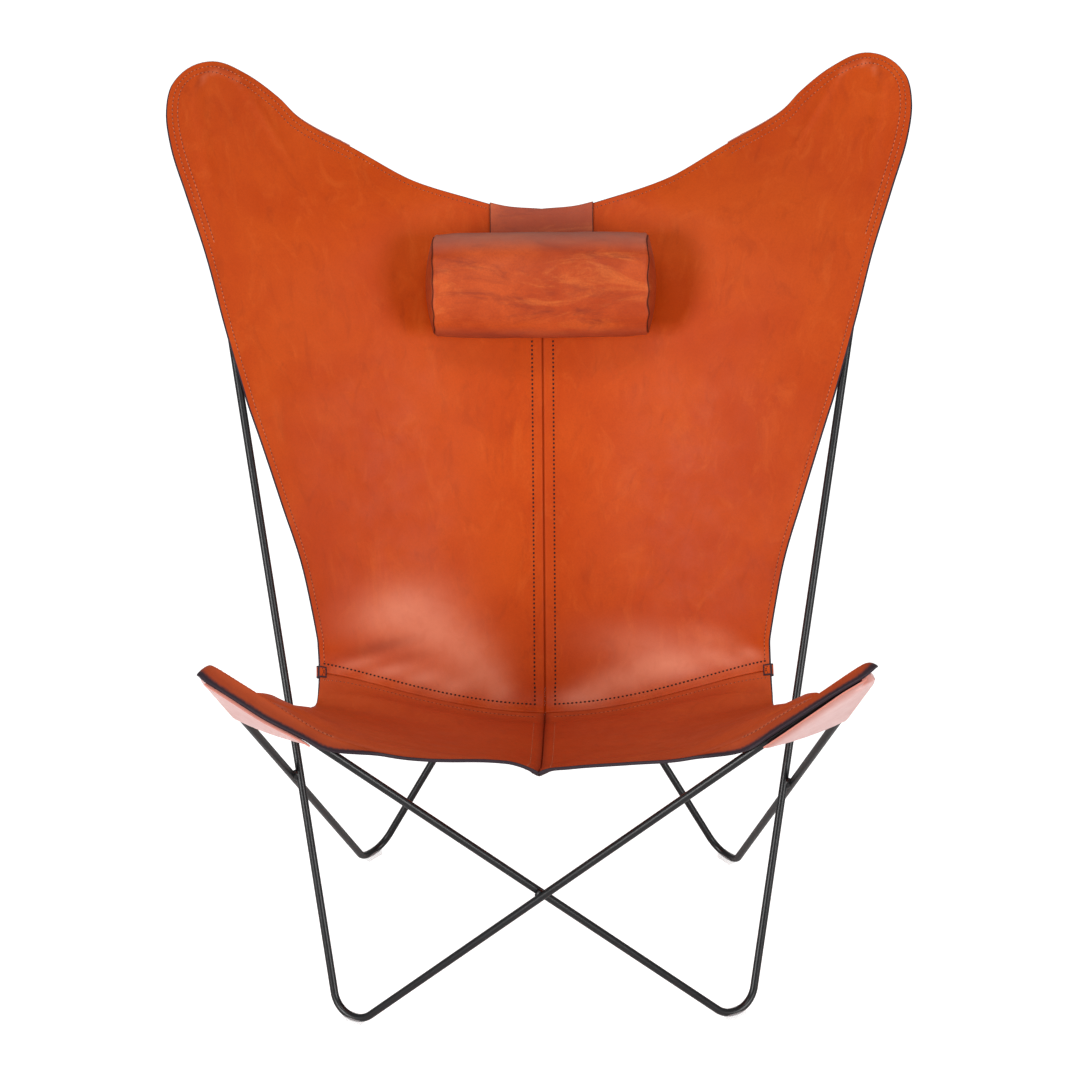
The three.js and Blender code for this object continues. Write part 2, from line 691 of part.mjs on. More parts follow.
  // Seat skin, turned down over the rod along the front edge of the horn
  const skirtStart = meet.x / rodEnd.x;
  const seatSkin = (u, v) => {
    const plan = seatPlan(u, v);
    const point = seatPoint(plan.x, plan.y);
    const front = seatPlan(u, 0);
    const away = plan.distanceTo(front);
    const zone = smooth(...skirtEaseShares, front.x / rodEnd.x - skirtStart);
    const fold = Math.max(0, 1 - away / (rodClear + leather)) ** 1.5;
    return point.addScaledVector(h, -hornSkirt * zone * fold);
  };
  const backSkin = (u, v) => {
    const plan = backPlan(u, v);
    return backPoint(plan.x, plan.z);
  };
  // Bend between seat and back, as a quadratic curve about the crease
  const bend = (u, t) => {
    const from = seatSkin(u, 1);
    const to = backSkin(u, 0);
    const k = crease(u);
    return from.multiplyScalar((1 - t) ** 2).addScaledVector(k, 2 * t * (1 - t)).addScaledVector(to, t * t);
  };
  return {
    ...half, seatHeight, seatPoint, backPoint, crease, backSkin, seatSkin, bend, outline, seatLine, hornPlane,
    planeDepth, belowEar, outward, earHalf, waistHalf, rodWay,
  };
}

// Grid of a patch function over shares across and shares along
const gridOf = (patch, across, along) => along.map((v) => across.map((u) => patch(u, v)));
const evenShares = (count) => Array.from({ length: count + 1 }, (_, i) => i / count);
const mirrorGrid = (grid, side) => grid.map((row) => row.map((p) => mirrored(p, side)));

const backColumns = [0, 0.04, 0.1, 0.18, 0.27, 0.37, 0.47, 0.57, 0.66, 0.74, 0.82, 0.89, 0.95, 1];
const backRows = [0.05, 0.11, 0.18, 0.26, 0.34, 0.42, 0.5, 0.57, 0.64, 0.71, 0.77, 0.83, 0.88, 0.93, 0.97, 1];
const seatColumns = [0, 0.03, 0.07, 0.13, 0.21, 0.3, 0.39, 0.48, 0.56, 0.64, 0.71, 0.78, 0.85, 0.91, 0.96, 1];
const seatRows = [0, 0.008, 0.017, 0.027, 0.04, 0.07, 0.13, 0.22, 0.33, 0.45, 0.58, 0.71, 0.83, 0.93];
const bendRows = [0, 0.2, 0.36, 0.47];

const sides = {};
for (const [name, side] of [['left', -1], ['right', 1]]) {
  const half = slingSkin(slingSide(side));
  sides[name] = half;
  const seamShare = fitGap / hemRun / 2;
  const lowerBend = [...bendRows, 0.5 - seamShare];
  const upperBend = lowerBend.map((t) => 1 - t).reverse().slice(0, -1);
  const back = [
    ...upperBend.map((t) => backColumns.map((u) => half.bend(u, t))),
    ...gridOf(half.backSkin, backColumns, [0, ...backRows]),
  ];
  const seat = [
    ...gridOf(half.seatSkin, seatColumns, seatRows),
    ...lowerBend.map((t) => seatColumns.map((u) => half.bend(u, t))),
  ];
  addSheet(`back_panel_${name}`, mirrorGrid(back, side), leather, slingLeather, { flatStart: true });
  addSheet(`seat_panel_${name}`, mirrorGrid(seat, side), leather, slingLeather, { flatStart: true });
}

// Ear pocket: leather behind the rods of an ear, joined to the sling all round the ear's edge
const pocketStandOff = rodClear + pocketEase + pocketLeather / 2;
const hornStandOff = rodClear + hornPocketEase + pocketLeather / 2;
const pocketColumns = evenShares(21);
const pocketRows = [0, 0.2, 0.4, 0.56, 0.67, 0.75, 0.81, 0.86, 0.9, 0.935, 0.965, 1];

// Line of the rods round a bend, with its straight runs, and a point's signed distance outside it
function rodLine(corner, from, to, radius) {
  const bend = bendAt(corner, from, to, radius);
  const spoke = bend.start.clone().sub(bend.centre);
  const axis = spoke.clone().cross(corner.clone().sub(bend.start)).normalize();
  const arc = evenShares(2 * bendSteps).map((t) => spoke.clone()
    .applyAxisAngle(axis, bend.sweep * t).add(bend.centre));
  const points = [from, ...arc, to];
  return (point) => {
    let best = Infinity;
    let sign = 1;
    for (let i = 1; i < points.length; i += 1) {
      const run = new THREE.Line3(points[i - 1], points[i]);
      const nearest = run.closestPointToPoint(point, true, vec(0, 0, 0));
      const away = point.clone().sub(nearest);
      if (away.length() < best) {
        best = away.length();
        sign = Math.sign(away.dot(nearest.clone().sub(bend.centre).addScaledVector(bend.inward, -radius)));
      }
    }
    return sign * best;
  };
}

// Stand-off behind the rods' plane: round the rod, then straight to the seam at the edge
function pocketOffset(distance, edgeDistance, edgeOffset) {
  if (distance <= 0) return -pocketStandOff;
  const knee = pocketStandOff * Math.SQRT1_2;
  if (distance < knee) return -Math.sqrt(pocketStandOff ** 2 - distance ** 2);
  const t = Math.min(1, (distance - knee) / Math.max(fitGap, edgeDistance - knee));
  return THREE.MathUtils.lerp(-knee, edgeOffset, t);
}

function addEarPocket(name, half) {
  const { frame, belowEar, backDepth, outline } = half;
  const c = frame.earCentre;
  const n = frame.earNormal;
  const planeAt = (p) => vec(p.x, c.y - (n.x * (p.x - c.x) + n.z * (p.z - c.z)) / n.y, p.z);
  const outside = rodLine(frame.ear, frame.legFoot, frame.rearOfEar, bendRadius);
  const inPocket = (depth) => outline.filter((p) => belowEar(p.x, p.z) < depth);
  const rim = inPocket(earPocketDepth);
  const wide = inPocket(earPocketDepth + pocketMouthEase);
  const patch = (u, v) => {
    const edge = alongLine(rim, u);
    edge.add(vec(c.x, 0, c.z).sub(edge).setLength(leather / 2));
    const mouth = mixPoint(wide[0], wide[wide.length - 1], u);
    const point = planeAt(mixPoint(mouth, edge, v));
    const rimPoint = planeAt(edge);
    const skin = (backDepth(point.x, point.z) - point.y) * n.y;
    const seam = skin - leather / 2 - 2 * fitGap - pocketLeather;
    const offset = pocketOffset(outside(point), outside(rimPoint), seam);
    point.y += offset / n.y;
    return point;
  };
  addSheet(name, mirrorGrid(gridOf(patch, pocketColumns, pocketRows), half.side), pocketLeather, rawLeather);
}

// Horn pocket: a sock under both rods of a horn, sewn inside the front edge and to the rear edge
function addHornPocket(name, half) {
  const { frame, seatSkin } = half;
  const h = frame.hornNormal;
  const bend = bendAt(frame.horn, frame.hornFoot, frame.hornRear, hornBendRadius);
  const c = bend.centre;
  const tipWay = bend.inward.clone().negate();
  let across = h.clone().cross(bend.inward).normalize();
  if (across.dot(frame.hornFoot.clone().sub(c)) < 0) across = across.negate();
  const ways = {
    front: { sign: 1, straight: frame.hornFoot.clone().sub(frame.horn).normalize() },
    rear: { sign: -1, straight: frame.hornRear.clone().sub(frame.horn).normalize() },
  };
  const rear = evenShares(60).map((v) => seatSkin(1, v * 0.6));
  const station = (way, turn, run) => {
    const out = tipWay.clone().multiplyScalar(Math.cos(turn))
      .addScaledVector(across, way.sign * Math.sin(turn));
    return { out, centre: c.clone().addScaledVector(out, hornBendRadius).addScaledVector(way.straight, run) };
  };
  const section = (turn, run) => {
    const f = station(ways.front, turn, run);
    const r = station(ways.rear, turn, run);
    const seamOut = rodClear + pocketLeather + hornEaseOut + hornSeamReach;
    const along = r.out.clone().cross(h);
    const end = rear.reduce((best, p) => {
      const miss = Math.abs(p.clone().sub(r.centre).dot(along));
      return miss < best.miss ? { miss, p } : best;
    }, { miss: Infinity, p: rear[0] }).p.clone().sub(r.centre);
    const endUp = end.dot(h) - leather / 2 - 3 * fitGap - pocketLeather;
    const around = Math.sqrt(Math.max(0, (hornStandOff + fitGap) ** 2 - endUp ** 2));
    const endOut = around > 0 ? Math.max(end.dot(r.out) - leather, around) : end.dot(r.out) - leather;
    const reach = Math.hypot(endOut, endUp);
    const stop = Math.atan2(endUp, endOut) - Math.acos(Math.min(1, hornStandOff / reach));
    const at = (s, out, rise) => s.centre.clone().addScaledVector(s.out, out).addScaledVector(h, rise);
    const a = at(f, 0, -hornStandOff);
    const b = at(r, 0, -hornStandOff);
    const turns = evenShares(5).slice(1).map((t) => {
      const angle = THREE.MathUtils.lerp(-Math.PI / 2, stop, t);
      return at(r, hornStandOff * Math.cos(angle), hornStandOff * Math.sin(angle));
    });
    const sag = (p, t) => p.addScaledVector(h, -hornPocketSag * Math.sin(Math.PI * t));
    return [
      at(f, seamOut, -hornStandOff), at(f, seamOut / 2, -hornStandOff), a,
      sag(mixPoint(a, b, 0.25), 0.25), sag(mixPoint(a, b, 0.5), 0.5), sag(mixPoint(a, b, 0.75), 0.75), b,
      ...turns, at(r, endOut, endUp),
    ];
  };
  const halfSweep = bend.sweep / 2;
  const arc = [0.4, 0.6, 0.8, 1].map((t) => section(halfSweep * t, 0));
  const runEnd = hornPocketDepth - hornBendRadius / Math.tan(Math.PI / 2 - halfSweep);
  const runs = [0.12, 0.25, 0.4, 0.6, 0.8, 1].map((t) => section(halfSweep, runEnd * t));
  const count = arc[0].length - 1;
  const tipLine = (out, width, rise) => evenShares(count).map((t) => {
    const side = THREE.MathUtils.lerp(1, -1, t);
    return c.clone().addScaledVector(tipWay, out)
      .addScaledVector(across, width * side).addScaledVector(h, rise);
  });
  const tipOut = hornBendRadius + hornStandOff + tipReach;
  const grid = [
    tipLine(tipOut, hornTipWidth / 2, 0),
    tipLine(hornBendRadius + hornStandOff, hornTipWidth, -hornStandOff),
    ...arc, ...runs,
  ];
  addSheet(name, mirrorGrid(grid, half.side), pocketLeather, rawLeather);
}

for (const [name, half] of Object.entries(sides)) {
  addEarPocket(`ear_pocket_${name}`, half);
  addHornPocket(`horn_pocket_${name}`, half);
}

// Both sides of the sling's skin as one, in whole coordinates
const halfOf = (x) => (x < 0 ? sides.left : sides.right);
const backSurface = (x, z) => vec(x, halfOf(x).backDepth(Math.abs(x), z), z);
const seatSurface = (x, y) => vec(x, y, halfOf(x).seatHeight(Math.abs(x), y));

// Strips sewn behind the seams
const stripOffset = leather / 2 + 2 * fitGap + stripLeather / 2;
const stripColumns = [-1, -0.6, -0.25, 0, 0.25, 0.6, 1];
const crossHalf = centreStripWidth / 2;
const backStrip = evenShares(22).map((t) => stripColumns.map((share) => {
  const low = sides.right.crease(0).z + hemRun;
  return backSurface(share * crossHalf, THREE.MathUtils.lerp(low, necklineRise - seamFold / 2, t));
}));
addSheet('back_seam_strip', backStrip, stripLeather, rawLeather, { shift: -stripOffset });
const seatStrip = evenShares(14).map((t) => stripColumns.map((share) => {
  const back = sides.right.crease(0).y - hemRun;
  const half = crossHalf * THREE.MathUtils.lerp(stripNoseShare, 1, smooth(0, stripNoseRunShare, t));
  return seatSurface(share * half, THREE.MathUtils.lerp(seamFold / 2 - seatFrontReach, back, t));
}));
addSheet('seat_seam_strip', seatStrip, stripLeather, rawLeather, { shift: -stripOffset - 2 * fitGap });

// Cross seam strips stop short of the centre strip and of the tabs
for (const [name, half] of Object.entries(sides)) {
  const start = (crossHalf + seamFold / 2) / half.waistHalf;
  const end = 1 - (tabReach + seamFold) / half.waistHalf;
  const rise = crossStripWidth / (necklineRise - creaseRise);
  const columns = [start, ...backColumns.filter((u) => u > start && u < end), end];
  const rows = [0, ...backRows.filter((v) => v < rise), rise];
  const grid = rows.map((v) => columns.map((u) => half.backSkin(u, v)));
  addSheet(`cross_seam_strip_${name}`, mirrorGrid(grid, half.side), stripLeather, rawLeather, {
    shift: -half.side * stripOffset,
  });
}

// Waist tab: a patch folded round the sling's edge, over the end of the crease
for (const [name, half] of Object.entries(sides)) {
  const wrap = leather / 2 + 3 * fitGap + tabLeather / 2;
  const flat = evenShares(3).slice(0, 3).map((t) => [THREE.MathUtils.lerp(-tabReach, 0, t), wrap]);
  const round = evenShares(6).map((t) => [wrap * Math.sin(Math.PI * t), wrap * Math.cos(Math.PI * t)]);
  const shape = [...flat, ...round, ...flat.map(([a, b]) => [a, -b]).reverse()];
  const run = half.bend(1, tabBendShare).distanceTo(half.bend(1, 1));
  const last = tabBendShare + (1 - tabBendShare) * Math.min(1, tabLength / run);
  const grid = evenShares(3).map((t) => {
    const share = THREE.MathUtils.lerp(tabBendShare, last, t);
    const edge = half.bend(1, share);
    const out = edge.clone().sub(half.bend(1 - tabReach / half.waistHalf, share)).normalize();
    const along = half.bend(1, share + seamFold / hemRun / 8).sub(edge).normalize();
    const facing = out.clone().cross(along).normalize();
    return shape.map(([a, b]) => edge.clone().addScaledVector(out, a + fitGap).addScaledVector(facing, b));
  });
  addSheet(`waist_tab_${name}`, mirrorGrid(grid, half.side), tabLeather, slingLeather);
}

// Slide of the neck cushion: along the chord of the back's middle line
const chordLow = backSurface(0, necklineRise - pouchDrop - pouchHeight);
const chordHigh = backSurface(0, necklineRise - cushionDrop);
const chordUp = chordHigh.clone().sub(chordLow).normalize();
const chordFront = vec(0, -chordUp.z, chordUp.y);
const onChord = (x, run, out) => chordHigh.clone().add(vec(x, 0, 0))
  .addScaledVector(chordUp, run).addScaledVector(chordFront, out);

// How far the back reaches over the chord plane, in front or behind, within a footprint and its travel
function backReach(halfWidth, from, to, sign, relief) {
  let reach = -Infinity;
  for (const x of evenShares(8).map((t) => THREE.MathUtils.lerp(-halfWidth, halfWidth, t))) {
    for (const run of evenShares(24).map((t) => THREE.MathUtils.lerp(from, to, t))) {
      const point = backSurface(x, chordHigh.z + run * chordUp.z);
      const out = sign * point.sub(chordHigh).dot(chordFront);
      reach = Math.max(reach, out - relief(x, run));
    }
  }
  return reach;
}

const cushionFrom = -cushionHeight;
const cushionStand = Math.max(...evenShares(9).map((t) => {
  const slide = THREE.MathUtils.lerp(slideUp, -slideDown, t);
  const relief = (x, run) => {
    const share = Math.min(1, Math.abs((run - slide) * 2 / cushionHeight + 1));
    return cushionDepth / 2 * (1 - Math.sqrt(1 - share ** 2));
  };
  return backReach(cushionWidth / 2 + endBulge, cushionFrom + slide, slide, 1, relief);
})) + leather / 2 + strapLeather + 3 * fitGap;
const cushionCentre = (x) => onChord(x, -cushionHeight / 2, cushionStand + cushionDepth / 2);

// Closed body from a stack of rings; without a loop its ends close to points
function ringBody(rings, loop) {
  const count = rings[0].length;
  const points = rings.flat();
  const faces = [];
  const last = loop ? rings.length : rings.length - 1;
  for (let i = 0; i < last; i += 1) {
    const here = i * count;
    const there = ((i + 1) % rings.length) * count;
    for (let j = 0; j < count; j += 1) {
      const k = (j + 1) % count;
      faces.push(here + j, here + k, there + k, here + j, there + k, there + j);
    }
  }
  if (!loop) {
    for (const [start, turn] of [[0, 1], [(rings.length - 1) * count, -1]]) {
      const middle = points.length;
      const ring = points.slice(start, start + count);
      points.push(ring.reduce((sum, p) => sum.add(p), vec(0, 0, 0)).divideScalar(count));
      for (let j = 0; j < count; j += 1) {
        const k = (j + 1) % count;
        faces.push(middle, start + (turn > 0 ? k : j), start + (turn > 0 ? j : k));
      }
    }
  }
  if (signedVolume(points, faces) < 0) {
    for (let i = 0; i < faces.length; i += 3) [faces[i + 1], faces[i + 2]] = [faces[i + 2], faces[i + 1]];
  }
  return { points, faces };
}

function addRings(name, rings, loop, material) {
  const solid = ringBody(rings, loop);
  return addPiece(name, meshGeometry(solid.points, solid.faces), material);
}

// Cross-section of the cushion at a place along it, pulled in by an inset
function cushionRing(x, inset, swell) {
  return evenShares(cushionSides).slice(1).map((t) => {
    const angle = 2 * Math.PI * t;
    const rise = (cushionHeight / 2 * swell - inset) * Math.sin(angle);
    const out = (cushionDepth / 2 * swell - inset) * Math.cos(angle);
    return cushionCentre(x).addScaledVector(chordUp, rise).addScaledVector(chordFront, out);
  });
}

// The cover is drawn in a little where its end panels are sewn on
const crownShare = (t) => 1 - cushionDrawIn * (2 * t - 1) ** 6;
const bodyShares = [0, 0.04, 0.1, 0.25, 0.5, 0.75, 0.9, 0.96, 1];
const cushionX = (t) => THREE.MathUtils.lerp(-cushionWidth / 2, cushionWidth / 2, t);
const outerRings = bodyShares.map((t) => cushionRing(cushionX(t), 0, crownShare(t)));
const innerRings = bodyShares.map((t) => cushionRing(cushionX(t), coverLeather, crownShare(t))).reverse();
addRings('cushion_cover', [...outerRings, ...innerRings], true, cushionLeather);
const coreRings = bodyShares.map((t) => cushionRing(cushionX(t), coverLeather + fitGap, crownShare(t)));
addRings('cushion_core', coreRings, false, foam);
for (const [name, side] of [['left', -1], ['right', 1]]) {
  const place = side * (cushionWidth / 2 + fitGap);
  const dome = (inset, lift) => [1, 0.93, 0.75, 0.5, 0.25, 0.05].map((share) => {
    const ring = cushionRing(place + side * (lift + endBulge * (1 - share ** 2)), 0, crownShare(0));
    const middle = cushionCentre(place + side * (lift + endBulge * (1 - share ** 2)));
    return ring.map((p) => middle.clone().lerp(p, share));
  });
  addRings(`cushion_end_${name}`, [...dome(0, 0).reverse(), ...dome(0, coverLeather)], false, cushionLeather);
}

// Strap: behind the cushion, over the neckline and down to the counterweight
const strapColumns = evenShares(8).map((t) => THREE.MathUtils.lerp(-strapWidth / 2, strapWidth / 2, t));
const neckRise = (x) => {
  const half = halfOf(x);
  const points = half.outline.slice(-6 * outlineSteps);
  for (let i = points.length - 1; i > 0; i -= 1) {
    if (points[i - 1].x >= Math.abs(x)) {
      const t = (Math.abs(x) - points[i].x) / (points[i - 1].x - points[i].x);
      return THREE.MathUtils.lerp(points[i].z, points[i - 1].z, Math.max(0, t));
    }
  }
  return necklineRise;
};
const strapFront = leather / 2 + 3 * fitGap + strapLeather / 2;
const strapBack = stripOffset + stripLeather / 2 + fitGap + strapLeather / 2;
const bendRadiusOfStrap = (strapFront + strapBack) / 2;
const overEdge = (x, angle, drop) => {
  const top = backSurface(x, neckRise(x));
  const shift = (strapFront - strapBack) / 2 + bendRadiusOfStrap * Math.cos(angle);
  const rise = bendRadiusOfStrap * Math.sin(angle) - drop;
  const base = backSurface(x, neckRise(x) - drop);
  const origin = drop > 0 ? base : top;
  return origin.addScaledVector(chordFront, shift).addScaledVector(chordUp, drop > 0 ? 0 : rise);
};
const bendDrop = seamFold / 2;
const edgeGrid = [
  strapColumns.map((x) => overEdge(x, 0, bendDrop)),
  ...evenShares(6).map((t) => strapColumns.map((x) => overEdge(x, Math.PI * t, 0))),
  strapColumns.map((x) => overEdge(x, Math.PI, bendDrop)),
];
addSheet('strap_over_edge', edgeGrid, strapLeather, cushionLeather);
// A strap run leaves the back over its lower half to lie on the piece that it carries
const strapRun = (low, offset, carriedOut) => evenShares(8).map((t) => strapColumns.map((x) => {
  const high = neckRise(x) - bendDrop - fitGap * 2;
  const z = THREE.MathUtils.lerp(low, high, t);
  const onBack = backSurface(x, z).addScaledVector(chordFront, offset);
  const onPiece = onChord(x, (z - chordHigh.z) / chordUp.z, carriedOut);
  return onBack.lerp(onPiece, 1 - smooth(strapHoldShare, strapLeaveShare, t));
}));
const strapLow = necklineRise - cushionDrop - cushionHeight / 2;
const cushionBack = cushionStand - fitGap - strapLeather / 2;
addSheet('strap_front', strapRun(strapLow, strapFront, cushionBack), strapLeather, cushionLeather);

// Counterweight: a flat pouch behind the back with two weight bars
const pouchHalf = pouchWidth / 2;
const pouchRun = (share) => -(pouchDrop - cushionDrop) - pouchHeight * share;
const pouchStand = backReach(
  pouchHalf, pouchRun(1) - slideUp, pouchRun(0) + slideDown, -1, () => 0,
) + strapBack + strapLeather / 2 + fitGap;
const pouchShares = [0, 0.05, 0.12, 0.3, 0.5, 0.7, 0.88, 0.95, 1];
const pouchPoint = (across, down, rise) => onChord(
  (2 * across - 1) * pouchHalf, pouchRun(down), -pouchStand - rise,
);
const pouchGrid = (rise) => pouchShares.map((down) => pouchShares.map((across) => {
  const rim = Math.min(across, 1 - across, down, 1 - down);
  return pouchPoint(across, down, rise(rim));
}));
addSheet('pouch_front', pouchGrid(() => coverLeather / 2), coverLeather, cushionLeather);
addSheet('pouch_rear', pouchGrid((rim) => 1.5 * coverLeather + fitGap
  + (pouchDepth - 2 * coverLeather) * smooth(0, pouchEdgeShare, rim)), coverLeather, cushionLeather);
for (const [name, side] of [['left', -1], ['right', 1]]) {
  const width = pouchWidth * weightWidthShare;
  const height = pouchHeight * weightHeightShare;
  const bar = new THREE.BoxGeometry(width, height, weightThickness);
  const merged = mergeGeometry(bar);
  const middle = onChord(side * (width / 2 + fitGap), pouchRun(0.5), -pouchStand - coverLeather - fitGap
    - weightThickness / 2);
  const points = merged.points.map((p) => middle.clone().add(vec(p.x, 0, 0))
    .addScaledVector(chordUp, p.y).addScaledVector(chordFront, p.z));
  if (signedVolume(points, merged.faces) < 0) merged.faces.reverse();
  addPiece(`weight_bar_${name}`, meshGeometry(points, merged.faces), steel);
}
const pouchFace = fitGap + strapLeather / 2 - pouchStand;
const strapEnd = chordHigh.z + pouchRun(strapTuckShare) * chordUp.z;
addSheet('strap_back', strapRun(strapEnd, -strapBack, pouchFace), strapLeather, cushionLeather);

// The drawing's origin is moved on the floor to under the middle of the whole chair
const middle = new THREE.Box3().setFromObject(chair).getCenter(vec(0, 0, 0));
for (const mesh of chair.children) mesh.geometry.translate(0, -middle.y, 0);

export default chair;
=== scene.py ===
import math
import bmesh
import bpy
import numpy as np
from mathutils import Matrix, Vector, noise


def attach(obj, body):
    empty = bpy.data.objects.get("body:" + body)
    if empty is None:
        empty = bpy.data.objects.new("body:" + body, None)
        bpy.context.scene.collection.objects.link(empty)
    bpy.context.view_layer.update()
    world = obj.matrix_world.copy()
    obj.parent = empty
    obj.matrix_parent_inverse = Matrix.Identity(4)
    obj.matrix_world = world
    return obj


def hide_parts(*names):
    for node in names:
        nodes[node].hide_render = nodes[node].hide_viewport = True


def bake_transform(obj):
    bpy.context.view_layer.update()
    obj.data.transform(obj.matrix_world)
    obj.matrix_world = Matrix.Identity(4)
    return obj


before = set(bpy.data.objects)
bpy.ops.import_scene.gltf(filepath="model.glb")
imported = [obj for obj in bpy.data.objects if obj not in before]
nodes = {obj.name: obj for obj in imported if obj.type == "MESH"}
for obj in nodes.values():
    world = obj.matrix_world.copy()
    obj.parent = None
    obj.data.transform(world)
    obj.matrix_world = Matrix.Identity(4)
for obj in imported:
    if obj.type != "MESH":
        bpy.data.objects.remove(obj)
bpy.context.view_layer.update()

sideNames = {-1: "left", 1: "right"}
print("frame loaded")

# Frame, in millimetres as drawn: corners where the rod's straight lines would meet
rodFrame = dict(rod=10, bend=34, hornBend=22, frontSpan=516, rearSpan=514, footDepth=382, hornSpan=758,
                hornReach=124, hornRise=577, earSpan=916, earReach=549, earRise=1195, floor=2, gap=0.3)

def unit(v):
    return v / np.linalg.norm(v, axis=-1, keepdims=True)

def mix(a, b, t):
    return a + (b - a) * t

def smooth(low, high, value):
    t = np.clip((value - low) / (high - low), 0, 1)
    return t * t * (3 - 2 * t)

def point(x, y, z):
    return np.stack(np.broadcast_arrays(np.asarray(x, float), y, z), -1)

def bendAt(corner, a, b, radius):
    u, w = unit(a - corner), unit(b - corner)
    half = math.acos(np.clip(u @ w, -1, 1)) / 2
    inward, normal = unit(u + w), unit(np.cross(u, w))
    centre = corner + inward * radius / math.sin(half)
    return dict(corner=corner, centre=centre, start=corner + u * radius / math.tan(half), normal=normal,
                inward=inward, radius=radius, sweep=math.pi - 2 * half,
                lowest=centre[2] - radius * math.sqrt(1 - normal[2] ** 2))

def lineGap(a, b, c, d):
    u, v = b - a, d - c
    normal = unit(np.cross(u, v))
    return (c - a) @ normal, normal, np.cross(c - a, u) @ normal / (np.cross(u, v) @ normal)

def makeLoops(f):
    touching = f["rod"] + f["gap"]
    front = touching * math.hypot(f["hornRise"], f["hornReach"]) / f["hornRise"] / 2
    rear = touching * math.hypot(f["earRise"], f["earReach"] - f["footDepth"]) / f["earRise"] / 2
    loops = {}
    for side in (-1, 1):
        loops[side] = dict(foot=point(side * f["frontSpan"] / 2, side * front, 0),
                           horn=point(-side * f["hornSpan"] / 2, side * front - f["hornReach"], f["hornRise"]),
                           rear=point(-side * f["rearSpan"] / 2, f["footDepth"] + side * rear, 0),
                           ear=point(side * f["earSpan"] / 2, f["earReach"] + side * rear, f["earRise"]))
    rodFloor = f["floor"] + f["gap"] + f["rod"] / 2
    for _ in range(8):  # feet on the floor, rear feet where the crossing rods touch
        for side in (-1, 1):
            loop, other = loops[side], loops[-side]
            loop["foot"][2] += rodFloor - bendAt(loop["foot"], loop["ear"], loop["horn"], f["bend"])["lowest"]
            loop["rear"][2] += rodFloor - bendAt(loop["rear"], loop["horn"], loop["ear"], f["bend"])["lowest"]
            near, normal, along = lineGap(other["foot"], other["ear"], loop["horn"], loop["rear"])
            outwardGap = -side * np.sign(normal[0]) * near
            loop["rear"][0] -= side * (touching - outwardGap) / (along * abs(normal[0]))
    for loop in loops.values():
        loop["bends"] = dict(foot=bendAt(loop["foot"], loop["ear"], loop["horn"], f["bend"]),
                             horn=bendAt(loop["horn"], loop["foot"], loop["rear"], f["hornBend"]),
                             rear=bendAt(loop["rear"], loop["horn"], loop["ear"], f["bend"]),
                             ear=bendAt(loop["ear"], loop["rear"], loop["foot"], f["bend"]))
    return loops

def turned(v, axis, angle):
    return v * math.cos(angle) + np.cross(axis, v) * math.sin(angle) + axis * (axis @ v) * (1 - math.cos(angle))

def bendStations(bend, steps):
    spoke = bend["start"] - bend["centre"]
    heading = unit(bend["corner"] - bend["start"])
    axis = unit(np.cross(spoke, heading))
    turns = [bend["sweep"] * i / steps for i in range(steps + 1)]
    return [(turned(spoke, axis, t) + bend["centre"], turned(heading, axis, t)) for t in turns]

loops = makeLoops(rodFrame)
fitGap = rodFrame["gap"]
drawnMiddle = 0.0

def metres(points):
    return (np.asarray(points, float) - [0, drawnMiddle, 0]) / 1000

def loopLine(loop, steps=28):
    return [s for name in ("foot", "horn", "rear", "ear") for s in bendStations(loop["bends"][name], steps)]

# The drawing was moved to its own middle when it was packed; the loops say by how much
ownY = [p[1] for p, _ in loopLine(loops[-1])]
packedY = [v.co.y for v in nodes["frame_loop_left_ear"].data.vertices]
drawnMiddle = (min(ownY) + max(ownY)) / 2 - (min(packedY) + max(packedY)) / 2 * 1000

def addObject(name, data):
    obj = bpy.data.objects.new(name, data)
    bpy.context.scene.collection.objects.link(obj)
    return obj

def makePiece(name, points, faces, material, body, replaced=(), slot=None, sharp=0.7, values=None):
    mesh = bpy.data.meshes.new(name)
    mesh.from_pydata(metres(points).tolist(), [], [list(map(int, f)) for f in faces])
    for key, data in (values or {}).items():
        layer = mesh.attributes.new(key, "FLOAT", "POINT")
        layer.data.foreach_set("value", np.asarray(data, np.float32))
    mesh.materials.append(material)
    mesh.polygons.foreach_set("use_smooth", [True] * len(mesh.polygons))
    mesh.validate()
    mesh.update()
    if sharp:
        mesh.set_sharp_from_angle(angle=sharp)
    obj = addObject(name, mesh)
    if body:
        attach(obj, body)
    if replaced:
        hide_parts(*replaced)
    return obj

def tubeFaces(rings, sides, closed=False):
    pairs = [(ring * sides, (ring + 1) % rings * sides) for ring in range(rings if closed else rings - 1)]
    return [(a + i, a + (i + 1) % sides, b + (i + 1) % sides, b + i) for a, b in pairs for i in range(sides)]

def sweepRod(stations, radius, sides):
    first = stations[0][1]
    across, last, leads = unit(np.cross([0, 0, 1.0], first)), first, []
    for _, heading in [*stations, stations[0]]:
        axis = np.cross(last, heading)
        angle = math.atan2(np.linalg.norm(axis), last @ heading)
        if angle > 1e-9:
            across = turned(across, unit(axis), angle)
        leads.append(across)
        last = heading
    back = leads.pop()
    twist = math.atan2(np.cross(back, leads[0]) @ first, back @ leads[0])
    points = []
    for ring, ((centre, heading), lead) in enumerate(zip(stations, leads)):
        start = turned(lead, heading, twist * ring / len(stations))
        points += [centre + radius * turned(start, heading, 2 * math.pi * i / sides) for i in range(sides)]
    return np.array(points), tubeFaces(len(stations), sides, closed=True)

